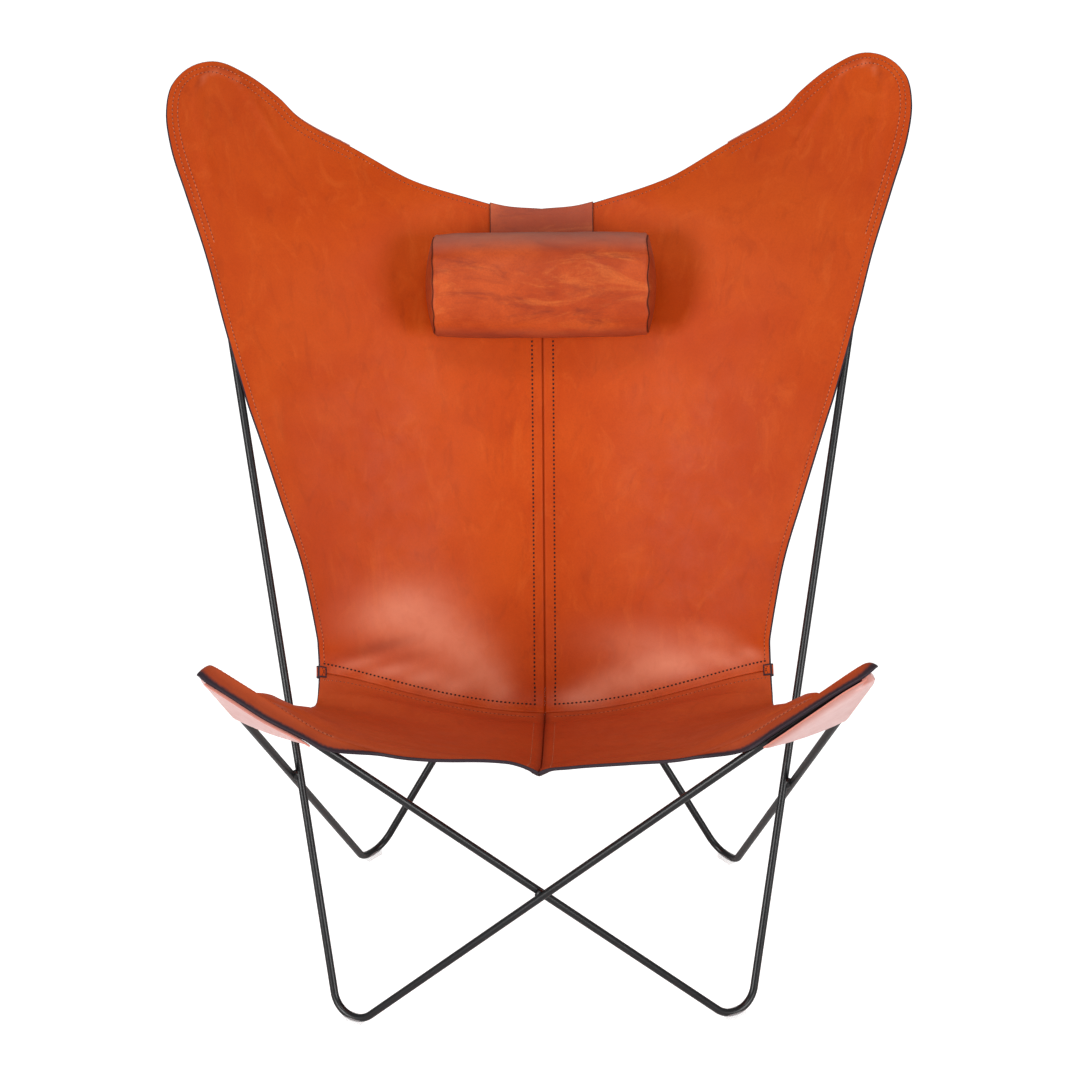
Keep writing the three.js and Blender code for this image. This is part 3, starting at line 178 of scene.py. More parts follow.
def tidyNormals(obj):
    made = bmesh.new()
    made.from_mesh(obj.data)
    bmesh.ops.remove_doubles(made, verts=made.verts, dist=1e-6)
    bmesh.ops.recalc_face_normals(made, faces=made.faces)
    made.to_mesh(obj.data)
    made.free()

# Materials
def srgb(r, g, b):
    return tuple(((c / 255 + 0.055) / 1.055) ** 2.4 if c > 10 else c / 255 / 12.92 for c in (r, g, b)) + (1.0,)

def fill(tree, node, inputs):
    # Sets a node's inputs, or links those that are given as another node's output
    for key, value in inputs.items():
        if isinstance(value, bpy.types.NodeSocket):
            tree.links.new(value, node.inputs[key])
        else:
            node.inputs[key].default_value = value

def addNode(tree, kind, inputs={}, **settings):
    node = tree.nodes.new(kind)
    for key, value in settings.items():
        setattr(node, key, value)
    fill(tree, node, inputs)
    return node

class Finish:
    # Short way to write a material's nodes
    def __init__(self, name):
        self.material = bpy.data.materials.new(name)
        self.material.use_nodes = True
        self.tree = self.material.node_tree
        self.shader = self.tree.nodes["Principled BSDF"]
        self.where = self.add("TexCoord")["Object"]
        self.normal = {}

    def add(self, kind, inputs={}, **settings):
        return addNode(self.tree, "ShaderNode" + kind, inputs, **settings).outputs

    def noise(self, scale, detail=4, rough=0.55, warp=0.0, stretch=None):
        where = self.add("Mapping", {"Vector": self.where, "Scale": stretch})["Vector"] if stretch else self.where
        return self.add("TexNoise", {"Vector": where, "Scale": scale, "Detail": detail, "Roughness": rough,
                                     "Distortion": warp})["Fac"]

    def cells(self, scale):
        return self.add("TexVoronoi", {"Vector": self.where, "Scale": scale}, feature="DISTANCE_TO_EDGE")["Distance"]

    def ramp(self, value, low, high, out=(0.0, 1.0)):
        return self.add("MapRange", {"Value": value, "From Min": low, "From Max": high, "To Min": out[0],
                                     "To Max": out[1]}, interpolation_type="SMOOTHSTEP")["Result"]

    def sums(self, operation, a, b):
        return self.add("Math", {0: a, 1: b}, operation=operation)[0]

    def blend(self, share, a, b):
        return self.add("Mix", {0: share, 6: a, 7: b}, data_type="RGBA")[2]

    def value(self, name):
        return self.add("Attribute", attribute_name=name)["Fac"]

    def bump(self, height, distance, strength=1.0):
        made = self.add("Bump", {"Strength": strength, "Distance": distance, "Height": height, **self.normal})
        self.normal = {"Normal": made["Normal"]}
        fill(self.tree, self.shader, self.normal)

    def set(self, **values):
        fill(self.tree, self.shader, {key.replace("_", " "): value for key, value in values.items()})
        return self.material

def grainLeather(name, look):
    f = Finish(name)
    cloud = f.ramp(f.noise(look["cloudScale"], 5, 0.6, 0.4), 0.32, 0.7)
    colour = f.blend(cloud, srgb(*look["deep"]), srgb(*look["light"]))
    smear = f.ramp(f.noise(look["smearScale"], 6, 0.7, 1.2, look["stretch"]), 0.5, 0.72)
    colour = f.blend(f.sums("MULTIPLY", smear, look["smearShare"]), colour, srgb(*look["smear"]))
    stain = f.ramp(f.noise(look["smearScale"] * 1.3, 6, 0.7, 0.9, look["stretch"]), 0.5, 0.74)
    colour = f.blend(f.sums("MULTIPLY", stain, look["stainShare"]), colour, srgb(*look["stain"]))
    speck = f.ramp(f.noise(420, 3, 0.6), 0.35, 0.7, (0.0, look["speckShare"]))
    colour = f.blend(speck, colour, srgb(*look["stain"]))
    # Two shares from the sheet mix in colours: a paler one, which is painted sheen on the back, the seat and the
    # cushion's top and a plain paler tone on the seat and strap; and a darker one, which is painted shade on the back,
    # the seat and the cushion and a plain darker tone on the seat
    bloom = f.value("bloomShare")
    patchy = f.ramp(f.noise(60, 4, 0.6, 0.5), 0.3, 0.62, (0.86, 1.0))
    colour = f.blend(f.sums("MULTIPLY", bloom, patchy), colour, srgb(*look["bloom"]))
    colour = f.blend(f.value("shadeShare"), colour, srgb(*look["shade"]))
    seam = f.value("seamWay")
    colour = f.blend(f.ramp(seam, look["grooveCore"], look["grooveWidth"], (look["groove"], 0.0)), colour,
                     srgb(*look["grooveTone"]))
    rim = f.sums("ADD", f.value("edgeWay"), f.ramp(f.noise(240, 2), 0.3, 0.7, (-0.00006, 0.00006)))
    colour = f.blend(f.ramp(rim, 0.0004, 0.0011, (1.0, 0.0)), colour, srgb(*look["edge"]))
    rough = f.ramp(f.noise(30, 5, 0.6), 0.3, 0.7, look["roughness"])
    rough = f.sums("SUBTRACT", rough, f.sums("MULTIPLY", bloom, 0.1))
    f.bump(f.noise(16, 4, 0.5, 0.3), 0.0016, look["wave"])
    f.bump(f.cells(640), 0.0004, look["grain"])
    f.bump(f.noise(1500, 3, 0.7), 0.0002, look["grain"])
    f.bump(f.ramp(seam, 0.0004, 0.0026), 0.0007, 0.8)
    return f.set(Base_Color=colour, Roughness=rough, Specular_IOR_Level=look["gloss"])

slingLook = dict(cloudScale=7, deep=(200, 70, 8), light=(212, 82, 14), smearScale=26, smear=(226, 102, 34),
                 stretch=(1, 1, 0.35), smearShare=0.35, stain=(150, 46, 10), stainShare=0.25, speckShare=0.12,
                 edge=(54, 42, 50), groove=0.5, grooveTone=(120, 40, 20), grooveCore=0.0, grooveWidth=0.0022,
                 bloom=(250, 158, 124), shade=(118, 40, 26), roughness=(0.4, 0.5), wave=0.3, grain=0.3, gloss=0.17)
pillowLook = dict(cloudScale=13, deep=(182, 66, 24), light=(210, 88, 36), smearScale=25, smear=(234, 122, 56),
                  stretch=(0.32, 1, 1), smearShare=0.55, stain=(144, 54, 32), stainShare=0.7, speckShare=0.2,
                  edge=(62, 32, 28), groove=0.9, grooveTone=(70, 28, 20), grooveCore=0.0006, grooveWidth=0.0019,
                  bloom=(180, 110, 92), shade=(120, 46, 26), roughness=(0.42, 0.58), wave=0.5, grain=0.4, gloss=0.2)

def suedeFinish(name, colour, shade, edgeTintShare=0.0):
    f = Finish(name)
    nap = f.ramp(f.noise(18, 6, 0.7, 0.5), 0.3, 0.7)
    base = f.blend(nap, srgb(*shade), srgb(*colour))
    base = f.blend(f.ramp(f.noise(700, 3), 0.35, 0.65, (0.0, 0.25)), base, srgb(*shade))
    # More orange towards the pocket's edges, as much as the given share
    base = f.blend(f.ramp(f.value("edgeWay"), 0.002, 0.03, (edgeTintShare, 0.0)), base, srgb(214, 104, 70))
    f.bump(f.noise(1100, 4, 0.8), 0.0006, 0.5)
    return f.set(Base_Color=base, Roughness=0.88, Sheen_Weight=0.25, Sheen_Roughness=0.5)

def paintFinish():
    f = Finish("blackPowderCoat")
    tone = f.ramp(f.noise(60, 3), 0.3, 0.7)
    f.bump(f.noise(2200, 2), 0.00012, 0.35)
    return f.set(Base_Color=f.blend(tone, srgb(16, 16, 18), srgb(24, 24, 27)), Roughness=0.3,
                 Specular_IOR_Level=0.5)

def plasticFinish():
    f = Finish("clearGlide")
    haze = f.ramp(f.noise(90, 2), 0.3, 0.7, (0.24, 0.36))
    return f.set(Base_Color=srgb(250, 246, 247), Roughness=haze, Alpha=0.22, IOR=1.46)

def steelFinish():
    f = Finish("weightSteel")
    brush = f.noise(40, 3, 0.6, stretch=(1, 30, 30))
    f.bump(brush, 0.0001, 0.4)
    return f.set(Base_Color=srgb(150, 152, 156), Metallic=1.0, Roughness=f.ramp(brush, 0.3, 0.7, (0.3, 0.42)))

def threadFinish(name, colour):
    f = Finish(name)
    f.bump(f.noise(2600, 2), 0.0002, 0.5)
    tone = f.ramp(f.noise(150, 2), 0.3, 0.7)
    return f.set(Base_Color=f.blend(tone, srgb(*[c * 0.8 for c in colour]), srgb(*colour)), Roughness=0.7)

slingLeather = grainLeather("slingLeather", slingLook)
cushionLeather = grainLeather("cushionLeather", pillowLook)
rawLeather = suedeFinish("rawLeather", (255, 214, 210), (244, 192, 186), 0.7)
# Dark brown strips: their darkness also paints the shade where a strip shows under the front of the seat
stripLeather = suedeFinish("stripLeather", (74, 44, 40), (54, 34, 34))
blackPaint = paintFinish()
clearPlastic = plasticFinish()
weightSteel = steelFinish()
darkThread = threadFinish("darkThread", (52, 20, 12))
warmThread = threadFinish("warmThread", (222, 122, 80))
# The stitch holes are dark marks between the stitches, which paint the shade inside each hole
holeShade = threadFinish("holeShade", (132, 54, 32))
print("materials made")

# Frame loops, drawn round and even
for side, name in sideNames.items():
    points, faces = sweepRod(loopLine(loops[side]), rodFrame["rod"] / 2, 32)
    makePiece("frameLoop_" + name, points, faces, blackPaint, "chair", ["frame_loop_" + name + "_ear"],
              "frame_paint", sharp=None)

# Weld beads: a rounded lump that creeps a little way along both rods
weldBead = dict(radius=7.2, thin=0.78, wide=1.1, narrow=0.85, ripple=0.35, rings=14, sides=24)

def makeWeld(name, a, b, c, d):
    gap, normal, along = lineGap(a, b, c, d)
    centre = mix(c, d, along) - normal * gap / 2
    one, two = unit(unit(b - a) + unit(d - c)), unit(unit(b - a) - unit(d - c))
    points, rings, sides = [], weldBead["rings"], weldBead["sides"]
    for up in (math.pi * i / rings for i in range(rings + 1)):
        for turn in (2 * math.pi * j / sides for j in range(sides)):
            r = weldBead["radius"] + weldBead["ripple"] * math.sin(5 * turn) * math.sin(3 * up)
            out = math.sin(up) * r
            points.append(centre + normal * math.cos(up) * r * weldBead["thin"]
                          + one * math.cos(turn) * out * weldBead["wide"]
                          + two * math.sin(turn) * out * weldBead["narrow"])
    tidyNormals(makePiece("weldBead_" + name, points, tubeFaces(rings + 1, sides), blackPaint, "chair",
                          ["weld_" + name], "frame_paint", sharp=None))

left, right = loops[-1], loops[1]
makeWeld("front", left["foot"], left["horn"], right["foot"], right["horn"])
makeWeld("rear", left["rear"], left["ear"], right["rear"], right["ear"])
makeWeld("left", left["foot"], left["ear"], right["rear"], right["horn"])
makeWeld("right", right["foot"], right["ear"], left["rear"], left["horn"])
print("frame made")

# Sling, in millimetres: the same named sizes as the drawing's
sling = dict(leather=4, ease=0.5, pocket=2.4, strip=2.4, waistRise=372, waistDepth=264, waistFlare=3.5,
             earOverhang=32, earCrown=42, necklineRise=893, necklineDepth=548, creaseRise=264, creaseDepth=298,
             seatFrontRise=400, seatFrontReach=45, seatValley=12, seatValleyRun=18, seatWingRise=144, hemRun=38,
             sideRowRise=363.6, sideRowDepth=217.9, wingPower=2, creasePower=1.85, frontSag=14.5,
             earPocketDepth=127, hornPocketDepth=165, hornOverhang=24, hornTipWidth=12, hornEaseOut=1.3,
             hornPocketSag=2.5, pocketEase=2.4, hornPocketEase=0.7, tipReach=2, hornSeamReach=0.9,
             pocketMouthEase=12, seamFold=12, hornSkirt=15, centreStrip=36, crossStrip=34, legReturn=0.46, seam=0.02)
# Where the leather's looser parts begin and end, as shares of the seat, and how far they stay from rod and edge
ease = dict(frontFade=(0, 0.4), valleyFade=(0.1, 1.1), powerFade=(0.5, 1), droopFrom=(0.04, 0.22), droopTo=(0.4, 0.68),
            droopEdge=70, overRod=5.5, liftFrom=(0, 0.1), liftRun=0.2, skirtBefore=0.16, skirtAfter=0.02,
            skirtPower=1.5, fullerRun=0.14, tipFrom=0.93)
# How the leather hangs on each side in the photograph: drawn in at the crease, fuller or shorter over the rods
hang = {-1: dict(drawIn=5.8, skirt=6, skirtIn=0.66, skirtOut=0.93, tip=1, tipOut=-3, droop=9, lift=4, liftOut=0.14),
        1: dict(drawIn=2.8, skirt=-5, skirtIn=0.55, skirtOut=0.8, tip=-6, tipOut=6, droop=9.5, lift=-4, liftOut=0.5)}
rodClear = rodFrame["rod"] / 2 + fitGap
skinOffset = rodClear + sling["ease"] + sling["leather"] / 2

def catmull(points, count):
    p = np.asarray(points, float)
    ends = np.vstack([2 * p[0] - p[1], p, 2 * p[-1] - p[-2]])
    t = np.linspace(0, len(p) - 1, count + 1)
    i = np.minimum(t.astype(int), len(p) - 2)
    w = (t - i)[:, None]
    p0, p1, p2, p3 = (ends[i + k] for k in range(4))
    d0, d1, d2 = (np.maximum(((b - a) ** 2).sum(1) ** 0.25, 1e-9)[:, None] for a, b in ((p0, p1), (p1, p2), (p2, p3)))
    m1 = ((p1 - p0) / d0 - (p2 - p0) / (d0 + d1) + (p2 - p1) / d1) * d1
    m2 = ((p2 - p1) / d1 - (p3 - p1) / (d1 + d2) + (p3 - p2) / d2) * d1
    return p1 + m1 * w + (3 * (p2 - p1) - 2 * m1 - m2) * w ** 2 + (2 * (p1 - p2) + m1 + m2) * w ** 3

def shareCurve(shares):
    line = catmull(shares, len(shares) * 24)
    return lambda value: np.interp(value, line[:, 0], line[:, 1])

def alongLine(line):
    run = np.r_[0, np.cumsum(np.linalg.norm(np.diff(line, axis=0), axis=1))]
    return lambda share: np.stack([np.interp(share, run / run[-1], line[:, k]) for k in range(3)], -1)

def coons(bottom, top, near, far):
    def patch(u, v):
        u, v = np.atleast_1d(u), np.atleast_1d(v)
        U, V = u[None, :, None], v[:, None, None]
        b0, b1, t0, t1 = (f(np.array([s])) for f in (bottom, top) for s in (0.0, 1.0))
        p = bottom(u)[None] * (1 - V) + top(u)[None] * V + near(v)[:, None] * (1 - U) + far(v)[:, None] * U
        return p - b0 * (1 - U) * (1 - V) - b1 * U * (1 - V) - t0 * (1 - U) * V - t1 * U * V
    return patch

edgeOverhang = shareCurve([
    (-0.2, -0.62), (-0.08, -0.74), (0, -0.87), (0.05, -1.07), (0.11, -1.09), (0.175, -1.06), (0.245, -0.9),
    (0.31, -0.72), (0.38, -0.52), (0.45, -0.31), (0.5, -0.14), (0.56, 0.01), (0.61, 0.17), (0.68, 0.32),
    (0.74, 0.49), (0.8, 0.72), (0.855, 0.91), (0.895, 1.01), (0.94, 0.95)])
backCurve = shareCurve([
    (-0.1, -0.17), (0, 0), (0.145, 0.19), (0.34, 0.39), (0.53, 0.57), (0.72, 0.735), (0.96, 0.965), (1, 1),
    (1.1, 1.14), (1.17, 1.27), (1.26, 1.4), (1.34, 1.5), (1.5, 1.7)])
edgeDepth = shareCurve([
    (-0.2, -0.1), (0, 0), (0.12, 0.08), (0.23, 0.19), (0.38, 0.36), (0.55, 0.51), (0.7, 0.67), (0.84, 0.82),
    (1, 1), (1.2, 1.2)])
seatDrop = shareCurve([
    (-0.4, -0.44), (-0.2, -0.25), (0, 0), (0.035, 0.045), (0.113, 0.145), (0.275, 0.385), (0.478, 0.59),
    (0.73, 0.765), (0.89, 0.885), (1, 1), (1.2, 1.25)])
seatWing = shareCurve([
    (-0.4, 0.88), (-0.2, 0.9), (0, 0.93), (0.035, 0.97), (0.113, 1), (0.275, 0.96), (0.478, 0.78),
    (0.73, 0.52), (0.89, 0.85), (1, 0.93), (1.2, 1)])
seatSag = shareCurve([
    (0, 0), (0.1, 0.03), (0.28, 0.35), (0.5, 1), (0.64, 0.8), (0.72, 0.35), (0.78, 0.06), (0.82, 0), (0.9, 0), (1, 0),
    (1.2, 0)])
necklineShares = [(0.1, 0.02), (0.2, 0.08), (0.38, 0.2), (0.56, 0.435), (0.67, 0.61), (0.72, 0.735),
                  (0.805, 0.9), (0.885, 0.995), (0.945, 0.985)]
earCornerShares = (0.986, 0.905)
sideRowShares = [0, 0.05, 0.12, 0.2, 0.3, 0.4, 0.5, 0.6, 0.7, 0.8, 0.88, 0.935]
frontEdgeShares = [(0, 0), (0.1, 0.02), (0.37, 0.15), (0.67, 0.42), (0.93, 0.8)]
frontRodShares = [0.79, 0.85, 0.9]
hornRearShares = [(1.22, 0.07), (1.173, 0.142), (1.096, 0.257), (1.018, 0.445), (0.962, 0.69), (0.98, 0.83)]
lineSteps = 14

class SlingHalf:
    # One side of the sling, with x counted outward from the middle
    def __init__(self, side):
        self.side = side
        own, other, flip = loops[side], loops[-side], np.array([side, 1, 1])
        ear, horn = own["bends"]["ear"], other["bends"]["horn"]
        self.legFoot, self.ear, self.rearOfEar = own["foot"] * flip, own["ear"] * flip, own["rear"] * flip
        self.earCentre, self.earInward = ear["centre"] * flip, ear["inward"] * flip
        self.earNormal = ear["normal"] * flip
        if self.earNormal[1] > 0:
            self.earNormal = -self.earNormal
        self.horn, self.hornFoot, self.hornRear = (other[k] * flip for k in ("horn", "foot", "rear"))
        self.hornCentre, self.hornInward = horn["centre"] * flip, horn["inward"] * flip
        self.hornNormal = horn["normal"] * flip
        if self.hornNormal[2] < 0:
            self.hornNormal = -self.hornNormal
        s = sling
        self.seam = s["seam"]
        self.earTop = self.earCentre[2] + s["earCrown"]
        self.returnRise = mix(s["waistRise"], self.earTop, s["legReturn"])
        self.returnDepth = self.planeDepth(self.edgeX(self.returnRise), self.returnRise)
        self.earWay = unit(self.earInward[[0, 2]])
        self.waistHalf = self.edgeX(s["waistRise"]) + s["waistFlare"]
        self.makeOutlines()

    def planeDepth(self, x, z):
        c, n = self.earCentre, self.earNormal
        return c[1] + (skinOffset - n[0] * (x - c[0]) - n[2] * (z - c[2])) / n[1]

    def edgeX(self, z):
        leg = mix(self.legFoot[0], self.ear[0], (z - self.legFoot[2]) / (self.ear[2] - self.legFoot[2]))
        share = (z - sling["waistRise"]) / (self.earTop - sling["waistRise"])
        return leg + edgeOverhang(share) * sling["earOverhang"]

    def edgeY(self, z):
        t = edgeDepth((z - sling["waistRise"]) / (self.returnRise - sling["waistRise"]))
        return np.where(z > self.returnRise, self.planeDepth(self.edgeX(z), z),
                        mix(sling["waistDepth"], self.returnDepth, t))

    def middleY(self, z):
        share = (z - sling["creaseRise"]) / (sling["necklineRise"] - sling["creaseRise"])
        return mix(sling["creaseDepth"], sling["necklineDepth"], backCurve(share))

    def belowEar(self, x, z):
        return (x - self.earCentre[0]) * self.earWay[0] + (z - self.earCentre[2]) * self.earWay[1]

    def backDepth(self, x, z):
        edge = np.minimum(z, self.earTop - sling["earCrown"])
        bucket = self.middleY(z) - (self.middleY(edge) - self.edgeY(edge)) * (x / self.edgeX(edge)) ** 2
        flat = 1 - smooth(sling["earPocketDepth"] - sling["seamFold"], 2 * sling["earPocketDepth"], self.belowEar(x, z))
        return mix(bucket, self.planeDepth(x, z), flat)

    def hornPlane(self, x, y):
        h, c = self.hornNormal, self.hornCentre
        return c[2] + (skinOffset - h[0] * (x - c[0]) - h[1] * (y - c[1])) / h[2]

    def seatHeight(self, x, y):
        s, own = sling, hang[self.side]
        share = (y + s["seatFrontReach"]) / (s["creaseDepth"] + s["seatFrontReach"])
        middle = mix(s["seatFrontRise"], s["creaseRise"], seatDrop(share))
        out, front = x / self.horn[0], 1 - smooth(*ease["frontFade"], share)
        power = mix(s["wingPower"], s["creasePower"], smooth(*ease["powerFade"], share))
        wing = s["seatWingRise"] * seatWing(share) * out ** power
        wing = wing - s["frontSag"] * seatSag(out) * front
        back = (y - self.horn[1]) / (s["sideRowDepth"] - self.horn[1])
        side = self.waistHalf * np.interp(back, [b for _, b in hornRearShares], [a for a, _ in hornRearShares])
        droop = (own["droop"] * smooth(*ease["droopFrom"], back) * (1 - smooth(*ease["droopTo"], back))
                 * smooth(ease["droopEdge"], 0, side - x))
        lift = own["lift"] * smooth(*ease["liftFrom"], out) * (1 - smooth(0, ease["liftRun"], out - own["liftOut"]))
        valley = s["seatValley"] * np.exp(-x / s["seatValleyRun"]) * (1 - smooth(*ease["valleyFade"], share))
        free, plane = middle + wing + lift * front, self.hornPlane(x, y)
        free = free - np.clip(free - plane - ease["overRod"], 0, droop)
        return (free + plane + np.hypot(free - plane, s["leather"])) / 2 - valley

    def backPoint(self, x, z):
        return point(x, self.backDepth(x, z), z)

    def seatPoint(self, x, y):
        return point(x, y, self.seatHeight(x, y))

    def crease(self, u):
        x = mix(self.seam, self.waistHalf - hang[self.side]["drawIn"], np.asarray(u, float))
        y = np.full_like(x, sling["creaseDepth"])
        for _ in range(24):
            z = self.seatHeight(x, y)
            y = self.backDepth(x, z)
        return point(x, y, z)

    def backHem(self, u):
        z = self.crease(u)[..., 2] + sling["hemRun"]
        return point(mix(self.seam, self.edgeX(z), u), 0, z)

    def seatHem(self, u):
        k = self.crease(u)
        return point(k[..., 0], k[..., 1] - sling["hemRun"], 0)

    def makeOutlines(self):
        s, seam = sling, self.seam
        earHalf = self.edgeX(self.earCentre[2])
        rise = self.earTop - s["necklineRise"]
        hemEnd, hemStart = self.backHem(1.0), self.backHem(0.0)
        sideZ = [mix(s["sideRowRise"], self.earTop, t) if t else hemEnd[2] for t in sideRowShares]
        sidePoints = [point(self.edgeX(z), 0, z) for z in sideZ]
        corner = point(earCornerShares[0] * earHalf, 0, s["necklineRise"] + earCornerShares[1] * rise)
        top = [point(a * earHalf, 0, s["necklineRise"] + b * rise) for a, b in necklineShares]
        self.outline = catmull([*sidePoints, corner, *top[::-1], point(seam, 0, s["necklineRise"])],
                               (len(sidePoints) + len(top) + 1) * lineSteps)
        at = len(sidePoints) * lineSteps
        sideLine, topLine = alongLine(self.outline[:at + 1]), alongLine(self.outline[at:][::-1])
        self.backPlan = coons(self.backHem, topLine,
                              lambda v: point(seam, 0, mix(hemStart[2], s["necklineRise"], v)), sideLine)
        h = self.hornNormal
        outward = unit(np.cross(unit(self.horn - self.hornFoot), h))
        if outward[1] > 0:
            outward = -outward
        away = outward * (rodClear + s["leather"] + s["pocket"] + s["hornEaseOut"]) + h * skinOffset
        onRod = [mix(self.hornFoot, self.horn, t) + away for t in frontRodShares]
        front = [point(mix(seam, onRod[0][0], a), mix(-s["seatFrontReach"], onRod[0][1], b), 0)
                 for a, b in frontEdgeShares]
        reach = rodFrame["hornBend"] + s["hornOverhang"] + hang[self.side]["tipOut"]
        tip = self.hornCentre - self.hornInward * reach + h * skinOffset
        hemSide = self.seatHem(1.0)
        rear = [point(a * self.waistHalf, mix(self.horn[1], s["sideRowDepth"], b), 0) for a, b in hornRearShares]
        flat = [p * [1, 1, 0] for p in [*onRod, tip + outward * s["hornTipWidth"], tip]]
        self.seatLine = catmull([*front, *flat, *rear, hemSide], (len(front) + len(flat) + len(rear)) * lineSteps)
        self.tipAt = (len(front) + len(flat) - 1) * lineSteps
        frontLine, rearLine = alongLine(self.seatLine[:self.tipAt + 1]), alongLine(self.seatLine[self.tipAt:])
        hem = self.seatHem(0.0)
        self.seatPlan = coons(frontLine, self.seatHem,
                              lambda v: point(seam, mix(-s["seatFrontReach"], hem[1], v), 0), rearLine)
        self.skirtStart = onRod[0][0] / self.horn[0]

    def seatSkin(self, u, v):
        plan, own = self.seatPlan(u, v), hang[self.side]
        front = self.seatPlan(u, 0.0)
        away = np.linalg.norm(plan - front, axis=-1)
        out = front[..., 0] / self.horn[0]
        zone = smooth(self.skirtStart - ease["skirtBefore"], self.skirtStart + ease["skirtAfter"], out)
        fold = np.maximum(0, 1 - away / (rodClear + sling["leather"])) ** ease["skirtPower"]
        fuller = smooth(own["skirtIn"], own["skirtIn"] + ease["fullerRun"], out) * (1 - smooth(own["skirtOut"], 1, out))
        skirt = sling["hornSkirt"] + own["skirt"] * fuller + own["tip"] * smooth(ease["tipFrom"], 1, out)
        lifted = self.seatPoint(plan[..., 0], plan[..., 1])
        return lifted - self.hornNormal * (skirt * zone * fold)[..., None]

    def backSkin(self, u, v):
        plan = self.backPlan(u, v)
        return self.backPoint(plan[..., 0], plan[..., 2])

    def bend(self, u, t):
        u, t = np.atleast_1d(u), np.atleast_1d(t)[:, None, None]
        start, k, end = self.seatSkin(u, 1.0), self.crease(u)[None], self.backSkin(u, 0.0)
        return start * (1 - t) ** 2 + k * 2 * t * (1 - t) + end * t * t

halves = {side: SlingHalf(side) for side in sideNames}

def eitherSide(x, ask):
    x = np.asarray(x, float)
    return np.where(x < 0, ask(halves[-1], np.abs(x)), ask(halves[1], np.abs(x)))

def backSurface(x, z):
    return point(x, eitherSide(x, lambda half, out: half.backDepth(out, z)), z)

def seatSurface(x, y):
    return point(x, y, eitherSide(x, lambda half, out: half.seatHeight(out, y)))

def gridSteps(grid):
    return np.concatenate([grid[1:2] - grid[:1], grid[2:] - grid[:-2], grid[-1:] - grid[-2:-1]])

def gridNormals(grid, flatStart=False):
    normal = np.cross(gridSteps(grid.swapaxes(0, 1)).swapaxes(0, 1), gridSteps(grid))
    if flatStart:
        normal[:, 0, 0] = 0
    return unit(normal)

def rimWay(grid, sides="uUvV"):
    # How far each grid point lies from the sheet's own edges, along its rows and columns
    along = np.linalg.norm(np.diff(grid, axis=1), axis=2)
    up = np.linalg.norm(np.diff(grid, axis=0), axis=2)
    u = np.concatenate([np.zeros((len(grid), 1)), np.cumsum(along, 1)], 1)
    v = np.concatenate([np.zeros((1, grid.shape[1])), np.cumsum(up, 0)], 0)
    ways = dict(u=u, U=u[:, -1:] - u, v=v, V=v[-1:] - v)
    return np.min([ways[s] for s in sides], axis=0)

def shellFaces(rows, columns, turned=False):
    # Two faces over a grid, and the wall round its edge
    number = np.arange(rows * columns).reshape(rows, columns)
    a, b, c, d = number[:-1, :-1], number[:-1, 1:], number[1:, 1:], number[1:, :-1]
    faces = np.stack([a, b, c, d], -1).reshape(-1, 4)
    ring = np.concatenate([number[0, :-1], number[:-1, -1], number[-1, :0:-1], number[:0:-1, 0]])
    after = np.roll(ring, -1)
    wall = np.stack([after, ring, ring + number.size, after + number.size], -1)
    faces = np.concatenate([faces, faces[:, ::-1] + number.size, wall])
    return faces[:, ::-1] if turned else faces

def sheetMesh(grid, thickness, shift=0.0, flatStart=False, mirror=1, seams="", cut="uUvV", rounding=0.8, roll=2.2):
    # Closed leather sheet about a grid: two faces, softened towards a cut edge and rolled in at a seam
    normals = gridNormals(grid, flatStart)
    way = rimWay(grid, cut)
    half = thickness / 2 * mix(1, 0.72, (1 - np.clip(way / rounding, 0, 1)) ** 2)
    if seams:
        half = half * mix(1, 0.3, (1 - np.clip(rimWay(grid, seams) / roll, 0, 1)) ** 2)
    half = half[..., None]
    front, rear = grid + normals * (shift + half), grid + normals * (shift - half)
    points = np.concatenate([front.reshape(-1, 3), rear.reshape(-1, 3)]) * [mirror, 1, 1]
    return points, shellFaces(*grid.shape[:2], turned=mirror < 0)

def sheetArea(grid):
    a, b = grid[1:, 1:] - grid[:-1, :-1], grid[1:, :-1] - grid[:-1, 1:]
    return np.linalg.norm(np.cross(a, b), axis=2).sum() / 2e6

def sheetFlat(grid):
    across = np.linalg.norm(np.diff(grid, axis=1), axis=2).sum(1).max() / 1000
    along = np.linalg.norm(np.diff(grid, axis=0), axis=2).sum(0).max() / 1000
    return across, along

def spread(count, fineStart=(), fineEnd=()):
    even = np.linspace(0, 1, count + 1)
    return np.unique(np.round(np.concatenate([even, fineStart, 1 - np.asarray(fineEnd, float)]), 6))

# Rows and columns of a panel, with finer ones by its edges; the panels meet closer than in the drawing
panelGrain = dict(columns=90, backRows=130, seatRows=96, bendRows=18, fine=(0.0008, 0.002, 0.0036, 0.006),
                  frontFine=(0.009, 0.013, 0.017, 0.024, 0.03), seamFine=(0.485, 0.492, 0.497), seamShare=0.0002)

def panelGrids(half):
    g = panelGrain
    columns = spread(g["columns"], g["fine"], g["fine"])
    lower = np.unique([*np.linspace(0, 0.5 - g["seamShare"], g["bendRows"])[1:], *g["seamFine"]])
    back = [half.bend(columns, 1 - lower[::-1]), half.backSkin(columns, spread(g["backRows"], (), g["fine"]))]
    seat = [half.seatSkin(columns, spread(g["seatRows"], g["fine"] + g["frontFine"])), half.bend(columns, lower)]
    return np.concatenate(back), np.concatenate(seat)

